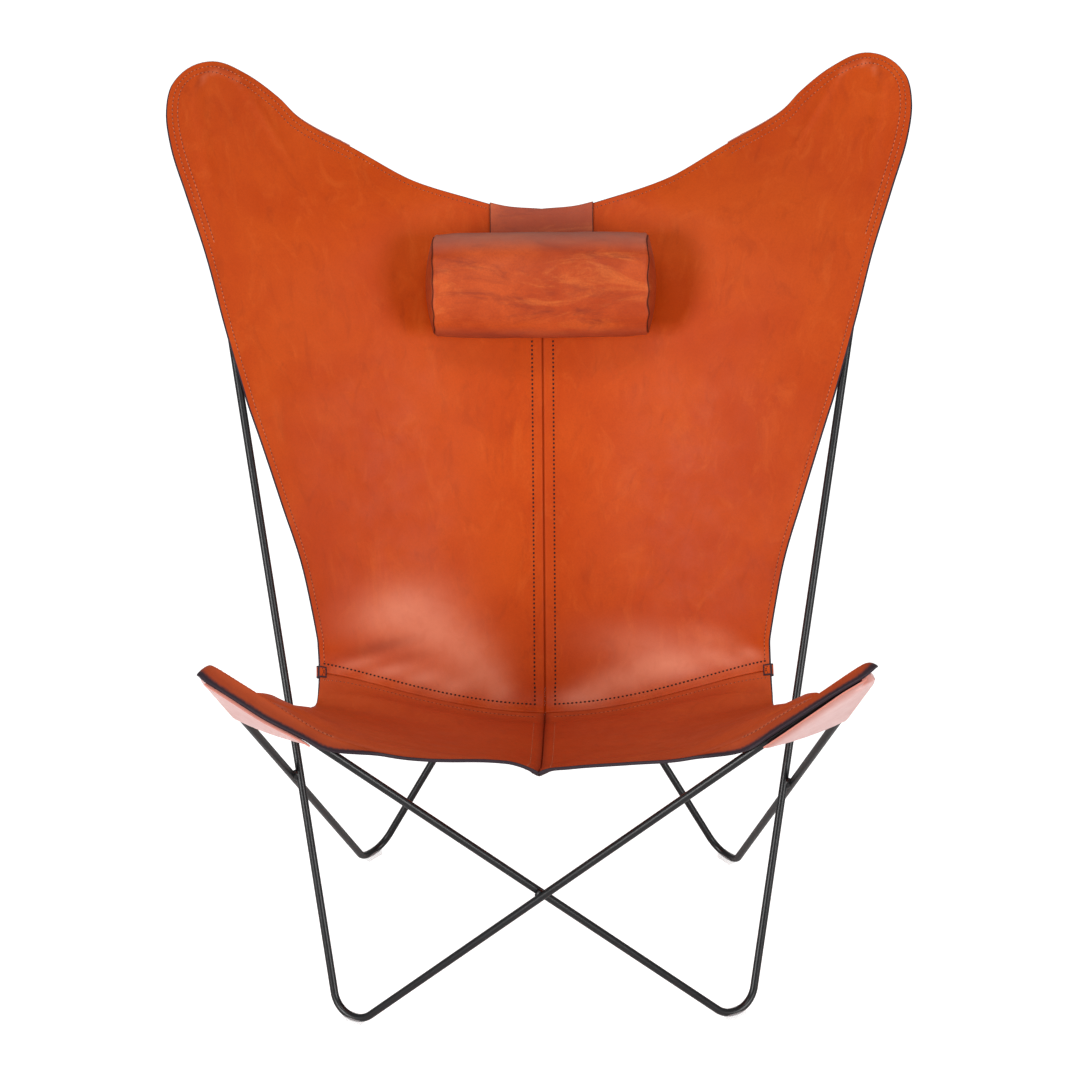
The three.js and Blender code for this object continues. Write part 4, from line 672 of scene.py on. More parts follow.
def sway(p):
    # Slow hollows and swells of the hanging leather, in millimetres
    x, y, z = p[..., 0], p[..., 1], p[..., 2]
    return (0.34 * np.sin(x / 41 + z / 97 + 1.3) * np.cos(z / 63 + y / 80) + 0.22 * np.sin(x / 23 - z / 49 + 0.4)
            + 0.16 * np.sin(x / 15 + y / 33) * np.sin(z / 29 + 2))

# Ways to the seam, in millimetres: for a sheet without one, and the fainter groove along the crease
seamFar, creaseGroove = 100.0, (1.5, 2.5)

def addSheet(name, grid, thickness, material, node, body="chair", held="stretched", shift=0.0, mirror=1, seams="",
             flatStart=False, rim=1.0, slot="raw_leather", rests=("frameLoop_left", "frameLoop_right"), free="uUvV",
             cut="uUvV", **marks):
    points, faces = sheetMesh(grid, thickness, shift, flatStart, mirror, seams, cut)
    edge = np.tile((rimWay(grid, free) * rim).reshape(-1), 2) / 1000
    inner = rimWay(grid, seams[0]) if seams else np.full(grid.shape[:2], seamFar)
    if seams[1:]:
        inner = np.minimum(inner, creaseGroove[0] + creaseGroove[1] * rimWay(grid, seams[1:]))
    inner = np.tile(inner.reshape(-1), 2) / 1000
    marks = {key: np.tile(value.reshape(-1), 2) for key, value in marks.items()}
    obj = makePiece(name, points, faces, material, body, [node], slot,
                    values=dict(edgeWay=edge, seamWay=inner, **marks))
    sheetFlat(grid)
    list(rests)
    sheetArea(grid)
    return obj

# Painted sheen where the back curves down into the crease: paler, waxier patches that paint in the lamps' highlight
# there, and also the paler pull-up of the stretched leather: place across and up, spread both ways, level
paintedSheenSpots = {-1: [(-190, 412, 62, 36, 0.68), (-140, 376, 46, 28, 0.52), (-104, 346, 38, 24, 0.52),
                   (-79, 320, 28, 18, 0.5), (-60, 300, 20, 14, 0.46), (-244, 358, 34, 8, 0.38),
                   (-200, 340, 34, 9, 0.5), (-160, 324, 30, 10, 0.55), (-122, 309, 28, 11, 0.5)],
              1: [(36, 290, 22, 10, 0.42), (64, 298, 26, 14, 0.54), (101, 313, 34, 15, 0.56), (141, 329, 36, 16, 0.54),
                  (180, 342, 36, 15, 0.54), (230, 360, 34, 12, 0.52), (270, 375, 16, 9, 0.4), (141, 360, 76, 28, 0.4),
                  (225, 386, 34, 14, 0.28)]}
# Painted shade: two dark patches beside the sheen on the lower left, and broad darker patches over the left ear and the
# upper right of the back: place across and up, spread both ways, level
paintedShadeSpots = {-1: [(-218, 373, 42, 9, 0.36), (-176, 353, 30, 8, 0.18), (-400, 1130, 110, 120, 0.14)],
              1: [(300, 930, 130, 110, 0.12)]}

spotCap = 0.86

def spots(grid, side, places):
    share = np.zeros(grid.shape[:2])
    for x, z, wide, high, level in places[side]:
        share += level * np.exp(-((grid[..., 0] * side - x) / wide) ** 2 - ((grid[..., 2] - z) / high) ** 2)
    return np.minimum(share, spotCap)

# The dark edge is narrow in the middle of the front and wide along the horns
darkEdge = dict(narrow=2.8, wide=7.5, tip=3, widening=(0.3, 0.6), tipFrom=0.93)

def frontBand(grid):
    out = grid[0, :, 0] / grid[0, -1, 0]
    wide = mix(darkEdge["narrow"], darkEdge["wide"], smooth(*darkEdge["widening"], out))
    wide = wide + darkEdge["tip"] * smooth(darkEdge["tipFrom"], 1, out)
    return np.minimum(rimWay(grid, "v") / wide[None], rimWay(grid, "U"))

def rodLine(corner, a, b, radius):
    bend = bendAt(corner, a, b, radius)
    line = np.array([a, *[p for p, _ in bendStations(bend, 28)], b])
    lean = bend["centre"] + bend["inward"] * radius

    def outside(p):
        start, run = line[:-1], np.diff(line, axis=0)
        t = np.clip(((p[..., None, :] - start) * run).sum(-1) / (run ** 2).sum(-1), 0, 1)
        near = start + t[..., None] * run
        gap = np.linalg.norm(p[..., None, :] - near, axis=-1)
        best = gap.argmin(-1)[..., None, None]
        near = np.take_along_axis(near, np.broadcast_to(best, best.shape[:-1] + (3,)), -2)[..., 0, :]
        return np.sign(((p - near) * (near - lean)).sum(-1)) * gap.min(-1)
    return outside

def bell(value, middle, wide):
    return np.exp(-((value - middle) / wide) ** 2)

# The leather stands up a little where the ear's rod presses behind it; beside the ridge a painted highlight and a
# painted shade stand in for the light that falls on it
ridge = dict(height=1.4, wide=5, paintedShine=0.3, shineAt=-5, paintedDusk=0.34, duskAt=-1, narrow=2, topRun=30)

def earRidge(half, grid):
    outside = rodLine(half.ear, half.legFoot, half.rearOfEar, rodFrame["bend"])
    away = outside(grid - half.earNormal * skinOffset)
    near = smooth(sling["earPocketDepth"], sling["earPocketDepth"] / 3, half.belowEar(grid[..., 0], grid[..., 2]))
    top = smooth(0, ridge["topRun"], grid[..., 2] - half.earCentre[2])
    return (ridge["height"] * bell(away, 0, ridge["wide"]) * near,
            ridge["paintedShine"] * bell(away, ridge["shineAt"], ridge["narrow"]) * top,
            ridge["paintedDusk"] * bell(away, ridge["duskAt"], ridge["narrow"]) * top)

# Seat colour: a little paler and darker all over as its own tone, a painted sheen in a band behind the front edge,
# painted shade along the front edge towards the horns and a painted shadow along the middle seam
seatToneAndLight = dict(paler=0.11, band=0.13, bandAt=38, bandWide=15, bandFrom=(0.3, 0.6), darker=0.12, edge=0.4,
                edgeRun=(8, 26), edgeFrom=(0.35, 0.6), middle=0.5, middleWide=6)

def seatToneAndLightShares(grid):
    t, within, out = seatToneAndLight, rimWay(grid, "v"), grid[..., 0] / grid[0, -1, 0]
    paler = t["paler"] + t["band"] * bell(within, t["bandAt"], t["bandWide"]) * smooth(*t["bandFrom"], out)
    darker = t["edge"] * (1 - smooth(*t["edgeRun"], within)) * smooth(*t["edgeFrom"], out)
    return paler, np.maximum(darker, t["middle"] * bell(grid[..., 0], 0, t["middleWide"])) + t["darker"]

def makePanels(side, name):
    common = dict(material=slingLeather, mirror=side, flatStart=True, slot="sling_leather")
    back, seat = panelGrids(halves[side])
    height, paintedShine, paintedDusk = earRidge(halves[side], back)
    paler, darker = seatToneAndLightShares(seat)
    band = frontBand(seat) / np.maximum(rimWay(seat, "Uv"), 1e-9)
    for part, grid, lift, marks in (
            ("back", back, height, dict(seams="uv", free="UV", bloomShare=spots(back, side, paintedSheenSpots) + paintedShine,
                                        shadeShare=spots(back, side, paintedShadeSpots) + paintedDusk)),
            ("seat", seat, 0, dict(seams="uV", free="Uv", rim=band, bloomShare=paler, shadeShare=darker))):
        grid = grid + gridNormals(grid) * (sway(grid * [side, 1, 1]) + lift)[..., None]
        addSheet(f"sling{part.title()}_{name}", grid, sling["leather"], node=f"{part}_panel_{name}", **marks, **common)

for side, name in sideNames.items():
    makePanels(side, name)
print("sling made")

# Neck cushion
cushion = dict(width=279, height=138, depth=92, cover=1.8, endBulge=9, drop=29, drawIn=0.05, strapWidth=136,
               strap=1.8, slideDown=120, slideUp=15)
pouch = dict(height=150, depth=20, width=128, drop=168, grain=61, border=4, swellFrom=(0.02, 0.14), wrinkle=0.5,
             wrinkleFrom=(0, 0.1), seamIn=0.006)
chordLow = backSurface(0.0, sling["necklineRise"] - pouch["drop"] - pouch["height"])
chordHigh = backSurface(0.0, sling["necklineRise"] - cushion["drop"])
chordUp = unit(chordHigh - chordLow)
chordFront = np.array([0, -chordUp[2], chordUp[1]])

def onChord(x, run, out):
    x, run, out = np.broadcast_arrays(np.asarray(x, float), run, out)
    return chordHigh + x[..., None] * [1, 0, 0] + run[..., None] * chordUp + out[..., None] * chordFront

def backReach(halfWidth, low, high, sign, relief):
    x, run = np.meshgrid(np.linspace(-halfWidth, halfWidth, 9), np.linspace(low, high, 25))
    out = sign * (backSurface(x, chordHigh[2] + run * chordUp[2]) - chordHigh) @ chordFront
    return (out - relief(run)).max()

def cushionRelief(slide):
    def relief(run):
        share = np.minimum(1, np.abs((run - slide) * 2 / cushion["height"] + 1))
        return cushion["depth"] / 2 * (1 - np.sqrt(1 - share ** 2))
    return relief

slides = np.linspace(cushion["slideUp"], -cushion["slideDown"], 10)
cushionStand = max(backReach(cushion["width"] / 2 + cushion["endBulge"], slide - cushion["height"], slide, 1,
                             cushionRelief(slide)) for slide in slides)
cushionStand += sling["leather"] / 2 + cushion["strap"] + 3 * fitGap

def bumpy(a, b, c):
    return noise.noise(Vector((a, b, c)))

# Sculpted cover: stations along and round it, the seams' place, room for welt and wrinkles within the drawn size
cover = dict(rings=150, sides=180, capRings=26, seamIn=2.2, inset=1.2, drawPower=6, capRun=40, waver=2.6, waverRun=10,
             pucker=0.9, puckerRun=14, slack=1.1, fineSlack=0.5, groove=1.9, grooveWide=1.5, welt=0.9, weltAt=3.4,
             weltWide=1.9, seamWander=0.8)
# Painted light on the cover: a painted highlight along its top, a paler underside, painted shade underneath and darker
# end caps; then the hubs' way to the seam, and a way to an edge far enough for no dark edge
coverTone = dict(top=0.75, topFrom=(0.55, 0.93), under=0.25, underFrom=(-0.75, -1), cap=0.55, low=0.35,
                 lowFrom=(-0.8, -1.0), hubSeam=0.02, noEdge=0.1)

def coverPoint(x, share, turn, halfLong):
    # A point of the cover with its way to the seam, its share of painted sheen and paler colour, and its share of
    # painted shade and darker colour
    k, tone, end = cover, coverTone, np.sign(x)
    c, s = math.cos(turn), math.sin(turn)
    fromSeam = abs(abs(x) - halfLong)
    if share != 1:
        fromSeam = (1 - share) * k["capRun"] + fromSeam
    crown = 1 - cushion["drawIn"] * abs(np.clip(x / halfLong, -1, 1)) ** k["drawPower"]
    puckers = k["pucker"] * bumpy(c * 7, s * 7, end * 3) * math.exp(-fromSeam / k["puckerRun"])
    slack = k["slack"] * bumpy(x / 70, c * 1.6, s * 1.6 + 5) + k["fineSlack"] * bumpy(x / 24, c * 4, s * 4 + 9)
    groove = k["welt"] * bell(fromSeam, k["weltAt"], k["weltWide"]) - k["groove"] * bell(fromSeam, 0, k["grooveWide"])
    r = puckers + slack * min(1, share) + groove * share - k["inset"]
    waver = k["waver"] * bumpy(c * 3, s * 3, 20 + end) * math.exp(-fromSeam / k["waverRun"])
    up = (cushion["height"] / 2 * crown + r) * s * share
    out = (cushion["depth"] / 2 * crown + r) * c * share
    place = onChord(x + waver, up - cushion["height"] / 2, cushionStand + cushion["depth"] / 2 + out)
    way = abs(fromSeam - k["seamWander"] * bumpy(c * 2.5, s * 2.5, 40 + end)) / 1000
    bloom = tone["top"] * smooth(*tone["topFrom"], s) * min(1, share) + tone["under"] * smooth(*tone["underFrom"], s)
    return place, way, bloom, tone["cap"] * (share < 0.999) + tone["low"] * smooth(*tone["lowFrom"], s)

def makeCushion():
    rings, sides = cover["rings"], cover["sides"]
    halfLong, bulge = cushion["width"] / 2 - cover["seamIn"], cushion["endBulge"] + cover["seamIn"]
    caps = [(halfLong + bulge * (1 - s ** 2), s) for s in np.cos(np.linspace(0, math.pi / 2, cover["capRings"]))[1:]]
    stations = [*[(-x, s) for x, s in caps[::-1]], *[(x, 1.0) for x in np.linspace(-halfLong, halfLong, rings)], *caps]
    turns = [2 * math.pi * j / sides for j in range(sides)]
    points, seamWays, coverPaleAndSheen, shades = map(list, zip(*[coverPoint(x, share, turn, halfLong)
                                                       for x, share in stations for turn in turns]))
    faces = tubeFaces(len(stations), sides)
    for start in (0, (len(stations) - 1) * sides):
        hub = len(points)
        points.append(np.mean(points[start:start + sides], axis=0))
        seamWays.append(coverTone["hubSeam"])
        coverPaleAndSheen.append(0)
        shades.append(coverTone["cap"])
        fan = [(hub, start + j, start + (j + 1) % sides) for j in range(sides)]
        faces += fan if start else [(a, c, b) for a, b, c in fan]
    obj = makePiece("neckCushion", np.array(points), faces, cushionLeather, "cushion",
                    ["cushion_cover", "cushion_core", "cushion_end_left", "cushion_end_right"], "cushion_leather",
                    sharp=None, values=dict(seamWay=seamWays, edgeWay=np.full(len(points), coverTone["noEdge"]),
                                            bloomShare=coverPaleAndSheen, shadeShare=shades))

makeCushion()
print("cushion made")

# Pockets behind the ears and under the horns
earGrain = dict(columns=64, rows=46, gather=0.6)
hornGrain = dict(around=10, along=26, arc=12, arcFrom=0.3, rearReach=0.6, frontFrom=0.3, sewnCurve=0.6, tipWide=0.8,
                 tipDrop=0.7, sewn=(0, 0.2, 0.4, 0.6, 0.8, 1), rearRim=(0.33, 0.67, 1))
pocketStand = rodClear + sling["pocketEase"] + sling["pocket"] / 2
hornStand = rodClear + sling["hornPocketEase"] + sling["pocket"] / 2

def pocketOffset(distance, edgeDistance, edgeOffset):
    knee = pocketStand * math.sqrt(0.5)
    t = np.minimum(1, (distance - knee) / np.maximum(fitGap, edgeDistance - knee))
    curved = -np.sqrt(np.maximum(0, pocketStand ** 2 - distance ** 2))
    return np.where(distance <= 0, -pocketStand, np.where(distance < knee, curved, mix(-knee, edgeOffset, t)))

def earPocketGrid(half):
    c, n = half.earCentre, half.earNormal
    outside = rodLine(half.ear, half.legFoot, half.rearOfEar, rodFrame["bend"])
    depth = lambda x, z: c[1] - (n[0] * (x - c[0]) + n[2] * (z - c[2])) / n[1]
    planeAt = lambda p: point(p[..., 0], depth(p[..., 0], p[..., 2]), p[..., 2])
    within = lambda depth: half.outline[half.belowEar(half.outline[:, 0], half.outline[:, 2]) < depth]
    rim, wide = within(sling["earPocketDepth"]), within(sling["earPocketDepth"] + sling["pocketMouthEase"])
    u, v = spread(earGrain["columns"]), spread(earGrain["rows"]) ** earGrain["gather"]
    edge = alongLine(rim)(u)
    edge = edge + unit(point(c[0], 0, c[2]) - edge) * sling["leather"] / 2
    mouth = mix(wide[0], wide[-1], u[:, None])
    grid = planeAt(mix(mouth[None], edge[None], v[:, None, None]))
    skin = (half.backDepth(grid[..., 0], grid[..., 2]) - grid[..., 1]) * n[1]
    seam = skin - sling["leather"] / 2 - 2 * fitGap - sling["pocket"]
    rimOut = outside(planeAt(edge))
    grid[..., 1] += pocketOffset(outside(grid), rimOut[None], seam) / n[1]
    return grid

def nearest(line, centre, along):
    # The line's point that lies in the plane through a centre, seen from that centre
    return line[np.abs((line - centre) @ along).argmin()] - centre

def hornPocketGrid(half):
    h, s, g, radius = half.hornNormal, sling, hornGrain, rodFrame["hornBend"]
    bend = bendAt(half.horn, half.hornFoot, half.hornRear, radius)
    c, tipWay = bend["centre"], -bend["inward"]
    across = unit(np.cross(h, bend["inward"]))
    if across @ (half.hornFoot - c) < 0:
        across = -across
    ways = [(1, unit(half.hornFoot - half.horn)), (-1, unit(half.hornRear - half.horn))]
    rear = half.seatSkin(1.0, np.linspace(0, g["rearReach"], 200))[:, 0]
    front = half.seatSkin(np.linspace(g["frontFrom"], 1, 300), 0.0)[0]
    seamOut = rodClear + s["pocket"] + s["hornEaseOut"] + s["hornSeamReach"]

    def section(turn, run):
        outs = [tipWay * math.cos(turn) + across * sign * math.sin(turn) for sign, _ in ways]
        centres = [c + out * radius + straight * run for out, (_, straight) in zip(outs, ways)]
        at = lambda i, out, rise: centres[i] + outs[i] * out + h * rise
        onRod = lambda angle: at(1, hornStand * math.cos(angle), hornStand * math.sin(angle))
        end, sewn = (nearest(line, centres[i], np.cross(outs[i], h)) for i, line in ((1, rear), (0, front)))
        endUp = end @ h - s["leather"] / 2 - 3 * fitGap - s["pocket"]
        around = math.sqrt(max(0, (hornStand + fitGap) ** 2 - endUp ** 2))
        endOut = max(end @ outs[1] - s["leather"], around or -math.inf)
        stop = math.atan2(endUp, endOut) - math.acos(min(1, hornStand / math.hypot(endOut, endUp)))
        sewnOut, sewnUp = sewn @ outs[0] - s["hornSeamReach"], sewn @ h - (s["leather"] + s["pocket"]) / 2 - fitGap
        a, b = at(0, 0, -hornStand), at(1, 0, -hornStand)
        return [*[at(0, mix(sewnOut, seamOut / 4, t), mix(min(sewnUp, -hornStand), -hornStand, t ** g["sewnCurve"]))
                  for t in g["sewn"]],
                *[mix(a, b, t) - h * s["hornPocketSag"] * math.sin(math.pi * t)
                  for t in np.linspace(0, 1, 2 * g["around"])],
                *[onRod(mix(-math.pi / 2, stop, t)) for t in np.linspace(0, 1, g["around"] + 1)[1:]],
                *[mix(onRod(stop), at(1, endOut, endUp), t) for t in g["rearRim"]]]
    sweep = bend["sweep"] / 2
    arc = [section(sweep * t, 0) for t in np.linspace(g["arcFrom"], 1, g["arc"])]
    runEnd = s["hornPocketDepth"] - radius / math.tan(math.pi / 2 - sweep)
    runs = [section(sweep, runEnd * t) for t in np.linspace(0, 1, g["along"])[1:]]
    sides, reach, wide = np.linspace(1, -1, len(arc[0]))[:, None], radius + hornStand, s["hornTipWidth"]
    tipLine = lambda out, width, rise: list(c + tipWay * out + across * width * sides + h * rise)
    return np.array([tipLine(reach + s["tipReach"], wide / 2, 0),
                     tipLine(reach + s["tipReach"] / 3, wide * g["tipWide"], -hornStand * g["tipDrop"]),
                     tipLine(reach, wide, -hornStand), *arc, *runs])

for side, name in sideNames.items():
    for part, grid, free in (("ear", earPocketGrid, "uUvV"), ("horn", hornPocketGrid, "u")):
        addSheet(f"{part}Pocket_{name}", grid(halves[side]), sling["pocket"], rawLeather, f"{part}_pocket_{name}",
                 mirror=side, free=free)

# Strips behind the seams
stripOut = sling["leather"] / 2 + 2 * fitGap + sling["strip"] / 2

strips = dict(columns=25, backRows=90, seatRows=60, noseWidth=0.35, noseRun=0.12, frontShort=6, crossGrain=(50, 12))

def addStrip(name, grid, node, rests, lower=0, mirror=1):
    addSheet(name, grid, sling["strip"], stripLeather, node, shift=-stripOut - lower, rests=(rests,), mirror=mirror)

def makeStrips():
    s, rows = sling, np.linspace(0, 1, strips["seatRows"])
    across = np.linspace(-1, 1, strips["columns"])[None] * s["centreStrip"] / 2
    nose = mix(strips["noseWidth"], 1, smooth(0, strips["noseRun"], rows))[:, None]
    middle = halves[1].crease(0.0)
    up = np.linspace(middle[2] + s["hemRun"], s["necklineRise"] - s["seamFold"] / 2, strips["backRows"])[:, None]
    addStrip("seamStrip_back", backSurface(*np.broadcast_arrays(across, up)), "back_seam_strip", "slingBack_left")
    run = np.linspace(s["seamFold"] - s["seatFrontReach"] + strips["frontShort"], middle[1] - s["hemRun"],
                      strips["seatRows"])[:, None]
    addStrip("seamStrip_seat", seatSurface(*np.broadcast_arrays(across * nose, run)), "seat_seam_strip",
             "slingSeat_left", 2 * fitGap)
    rise = s["crossStrip"] / (s["necklineRise"] - s["creaseRise"])
    for side, name in sideNames.items():
        half = halves[side]
        start = (s["centreStrip"] + s["seamFold"]) / 2 / half.waistHalf
        end = 1 - (tab["reach"] + s["seamFold"]) / half.waistHalf
        columns, rows = strips["crossGrain"]
        addStrip("crossStrip_" + name, half.backSkin(np.linspace(start, end, columns), np.linspace(0, rise, rows)),
                 "cross_seam_strip_" + name, "slingBack_" + name, mirror=side)

# Waist tabs, folded round the sling's edge, with a dark line round their face
tab = dict(length=16, reach=13, bendShare=0.4, leather=1.6, seen=9.5, standOff=1.2, faceGrain=14, curlGrain=21, rows=22,
           lineShift=4.5, lineStep=0.5, lineShare=0.36)

def squared(turn, power=0.6):
    # A sine or cosine that goes snugly round a square edge
    return math.copysign(abs(turn) ** power, turn)

def makeTab(half, name):
    wrap = sling["leather"] / 2 + 3 * fitGap + tab["leather"] / 2
    face = [(a, wrap) for a in np.linspace(-tab["seen"], 0, tab["faceGrain"])[:-1]]
    curl = [(tab["standOff"] * squared(math.sin(t)), wrap * squared(math.cos(t)))
            for t in np.linspace(0, math.pi, tab["curlGrain"])]
    shape = face + curl + [(a, -b) for a, b in face][::-1]
    at = lambda u, t: half.bend(u, t)[0, 0]
    run = np.linalg.norm(at(1.0, tab["bendShare"]) - at(1.0, 1.0))
    rows = []
    for share in np.linspace(tab["bendShare"], mix(tab["bendShare"], 1, min(1, tab["length"] / run)), tab["rows"]):
        edge = at(1.0, share)
        out = unit(edge - at(1 - tab["reach"] / half.waistHalf, share))
        facing = unit(np.cross(out, unit(at(1.0, share + 0.04) - edge)))
        rows.append([edge + out * (a + fitGap) + facing * b for a, b in shape])
    grid = np.array(rows)
    fold = np.abs(np.arange(len(shape)) - len(shape) // 2 + tab["lineShift"]) * tab["lineStep"]
    line = np.minimum(1, fold[None] / np.maximum(rimWay(grid), 1e-9)) * tab["lineShare"]
    addSheet("waistTab_" + name, grid, tab["leather"], slingLeather, "waist_tab_" + name, rim=line,
             mirror=half.side, held="folded", slot="sling_leather", rests=("slingBack_" + name,))
    return grid

makeStrips()
tabRows = {side: makeTab(halves[side], name) for side, name in sideNames.items()}
print("pockets, strips and tabs made")

# Strap over the neckline, and the counterweight pouch
strapOutFront = sling["leather"] / 2 + 3 * fitGap + cushion["strap"] / 2
strapOutBack = stripOut + sling["strip"] / 2 + fitGap + cushion["strap"] / 2
strap = dict(hold=0.1, leave=0.6, tuck=0.1, columns=61, frontRows=70, backRows=120, edgeRows=25, paler=0.32, rim=0.8,
             neckHalf=200, neckDrop=60, frontBlend=(-6, 20), backBlend=(-8, 24))
bendDrop = sling["seamFold"] / 2
strapLift = cushion["strap"] / 2 + 2 * fitGap
strapX = np.linspace(-cushion["strapWidth"] / 2, cushion["strapWidth"] / 2, strap["columns"])

def neckRise(x):
    def top(half, out):
        line = half.outline[half.outline[:, 0] < strap["neckHalf"]][::-1]
        line = line[line[:, 2] > sling["necklineRise"] - strap["neckDrop"]]
        return np.interp(out, line[:, 0], line[:, 2])
    return eitherSide(x, top)

def overEdge(angle, drop):
    # Snug over the square edge of the leather
    radius = (strapOutFront + strapOutBack) / 2
    shift = (strapOutFront - strapOutBack) / 2 + radius * squared(math.cos(angle))
    lift = 0 if drop else strapLift * squared(math.sin(angle))
    return backSurface(strapX, neckRise(strapX) - drop) + chordFront * shift + chordUp * lift

def strapRun(low, offset, carried, rows):
    high = neckRise(strapX) - bendDrop - fitGap / 6
    t = np.linspace(0, 1, rows)[:, None]
    z = mix(low, high[None], t)
    x = np.broadcast_to(strapX, z.shape)
    onPiece = onChord(x, (z - chordHigh[2]) / chordUp[2], carried)
    hold = (1 - smooth(strap["hold"], strap["leave"], t))[..., None]
    return mix(backSurface(x, z) + chordFront * offset, onPiece, hold)

def pouchRun(share):
    return -(pouch["drop"] - cushion["drop"]) - pouch["height"] * share

pouchStand = backReach(pouch["width"] / 2, pouchRun(1) - cushion["slideUp"], pouchRun(0) + cushion["slideDown"], -1,
                       lambda run: 0) + strapOutBack + cushion["strap"] / 2 + fitGap

def makeStrap():
    turns = np.linspace(0, math.pi, strap["edgeRows"])
    edge = np.array([overEdge(0, bendDrop), *[overEdge(t, 0) for t in turns], overEdge(math.pi, bendDrop)])
    common = dict(thickness=cushion["strap"], material=cushionLeather, slot="cushion_leather", rim=strap["rim"],
                  free="uU", cut="uU")
    paler = lambda grid: np.full(grid.shape[:2], strap["paler"])
    addSheet("strapOverEdge", edge, node="strap_over_edge", held="folded", rests=("slingBack_left",),
             bloomShare=paler(edge), **common)

    def addRun(name, node, grid, carried, blend, **marks):
        obj = addSheet(name, grid, node=node, body=None, **common, **marks, held="hung", rests=("strapOverEdge",))
        fixed, moved = (metres(grid[row, strap["columns"] // 2]) for row in blend)
        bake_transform(obj)
        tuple(fixed)
        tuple(moved)
    front = strapRun(sling["necklineRise"] - cushion["drop"] - cushion["height"] / 2, strapOutFront,
                     cushionStand - fitGap - cushion["strap"] / 2, strap["frontRows"])
    addRun("strapFront", "strap_front", front, "cushion", strap["frontBlend"], bloomShare=paler(front))
    rear = strapRun(chordHigh[2] + pouchRun(strap["tuck"]) * chordUp[2], -strapOutBack,
                    fitGap + cushion["strap"] / 2 - pouchStand, strap["backRows"])
    addRun("strapBack", "strap_back", rear, "counterweight", strap["backBlend"])

def makePouch():
    share = np.linspace(0, 1, pouch["grain"])
    down, across = share[:, None], share[None]
    rim = np.minimum(np.minimum(across, 1 - across), np.minimum(down, 1 - down))
    x, run = (2 * across - 1) * pouch["width"] / 2, pouchRun(down)
    swell = smooth(*pouch["swellFrom"], rim) * (pouch["depth"] - 3 * cushion["cover"])
    wrinkle = pouch["wrinkle"] * np.sin(x / 7 + run / 19) * smooth(*pouch["wrinkleFrom"], rim)
    face = onChord(x, run, -pouchStand - 0.2 * cushion["cover"])
    back = onChord(x, run, -pouchStand - 2 * cushion["cover"] - swell - wrinkle)
    points = np.concatenate([face.reshape(-1, 3), back.reshape(-1, 3)])
    edge = np.tile((rim * pouch["width"]).reshape(-1), 2) / 1000
    obj = makePiece("weightPouch", points, shellFaces(*rim.shape, turned=True), cushionLeather, "counterweight",
                    ["pouch_front", "pouch_rear"], "cushion_leather",
                    values=dict(edgeWay=edge * 0.5 + 0.0004, seamWay=np.abs(edge - pouch["seamIn"])))
    tidyNormals(obj)
    return back

makeStrap()
pouchBack = makePouch()
print("strap and pouch made")

# Stitches: a thread of short rounded stitches along a line, made with Geometry Nodes
def stitchTree():
    tree = bpy.data.node_groups.new("stitchRow", "GeometryNodeTree")
    sockets = [("Line", "Geometry", None), ("Pitch", "Float", 0.006), ("Start", "Float", 0.0),
               ("Length", "Float", 0.0042), ("Width", "Float", 0.001), ("Unevenness", "Float", 0.12),
               ("Seed", "Int", 4), ("Thread", "Material", None)]
    for name, kind, value in sockets:
        made = tree.interface.new_socket(name, in_out="INPUT", socket_type="NodeSocket" + kind)
        if value is not None:
            made.default_value = value
    tree.interface.new_socket("Stitches", in_out="OUTPUT", socket_type="NodeSocketGeometry")
    add = lambda kind, inputs={}, **settings: addNode(tree, kind, inputs, **settings).outputs
    given, wholeLine = add("NodeGroupInput"), 1000
    trim = add("GeometryNodeTrimCurve", {"Curve": given["Line"], 4: given["Start"], 5: wholeLine}, mode="LENGTH")
    dots = add("GeometryNodeCurveToPoints", {"Curve": trim["Curve"], "Length": given["Pitch"]}, mode="LENGTH")
    ball = add("GeometryNodeMeshUVSphere", {"Segments": 6, "Rings": 5, "Radius": 0.5})
    turn = add("FunctionNodeAlignRotationToVector", {"Vector": dots["Tangent"]}, axis="Z")
    low, high = (add("ShaderNodeMath", {0: 1, 1: given["Unevenness"]}, operation=way)[0] for way in ("SUBTRACT", "ADD"))
    chance = add("FunctionNodeRandomValue", {2: low, 3: high, "Seed": given["Seed"]})  # sockets for plain numbers
    length = add("ShaderNodeMath", {0: given["Length"], 1: chance[1]}, operation="MULTIPLY")[0]
    size = add("ShaderNodeCombineXYZ", {"X": given["Width"], "Y": given["Width"], "Z": length})[0]
    placed = add("GeometryNodeInstanceOnPoints", {"Points": dots["Points"], "Instance": ball["Mesh"],
                                                  "Rotation": turn["Rotation"], "Scale": size})
    real = add("GeometryNodeRealizeInstances", {"Geometry": placed["Instances"]})
    soft = add("GeometryNodeSetShadeSmooth", {"Geometry": real["Geometry"]})
    paint = add("GeometryNodeSetMaterial", {"Geometry": soft["Geometry"], "Material": given["Thread"]})
    add("NodeGroupOutput", {"Stitches": paint["Geometry"]})
    return tree

stitchGroup = stitchTree()

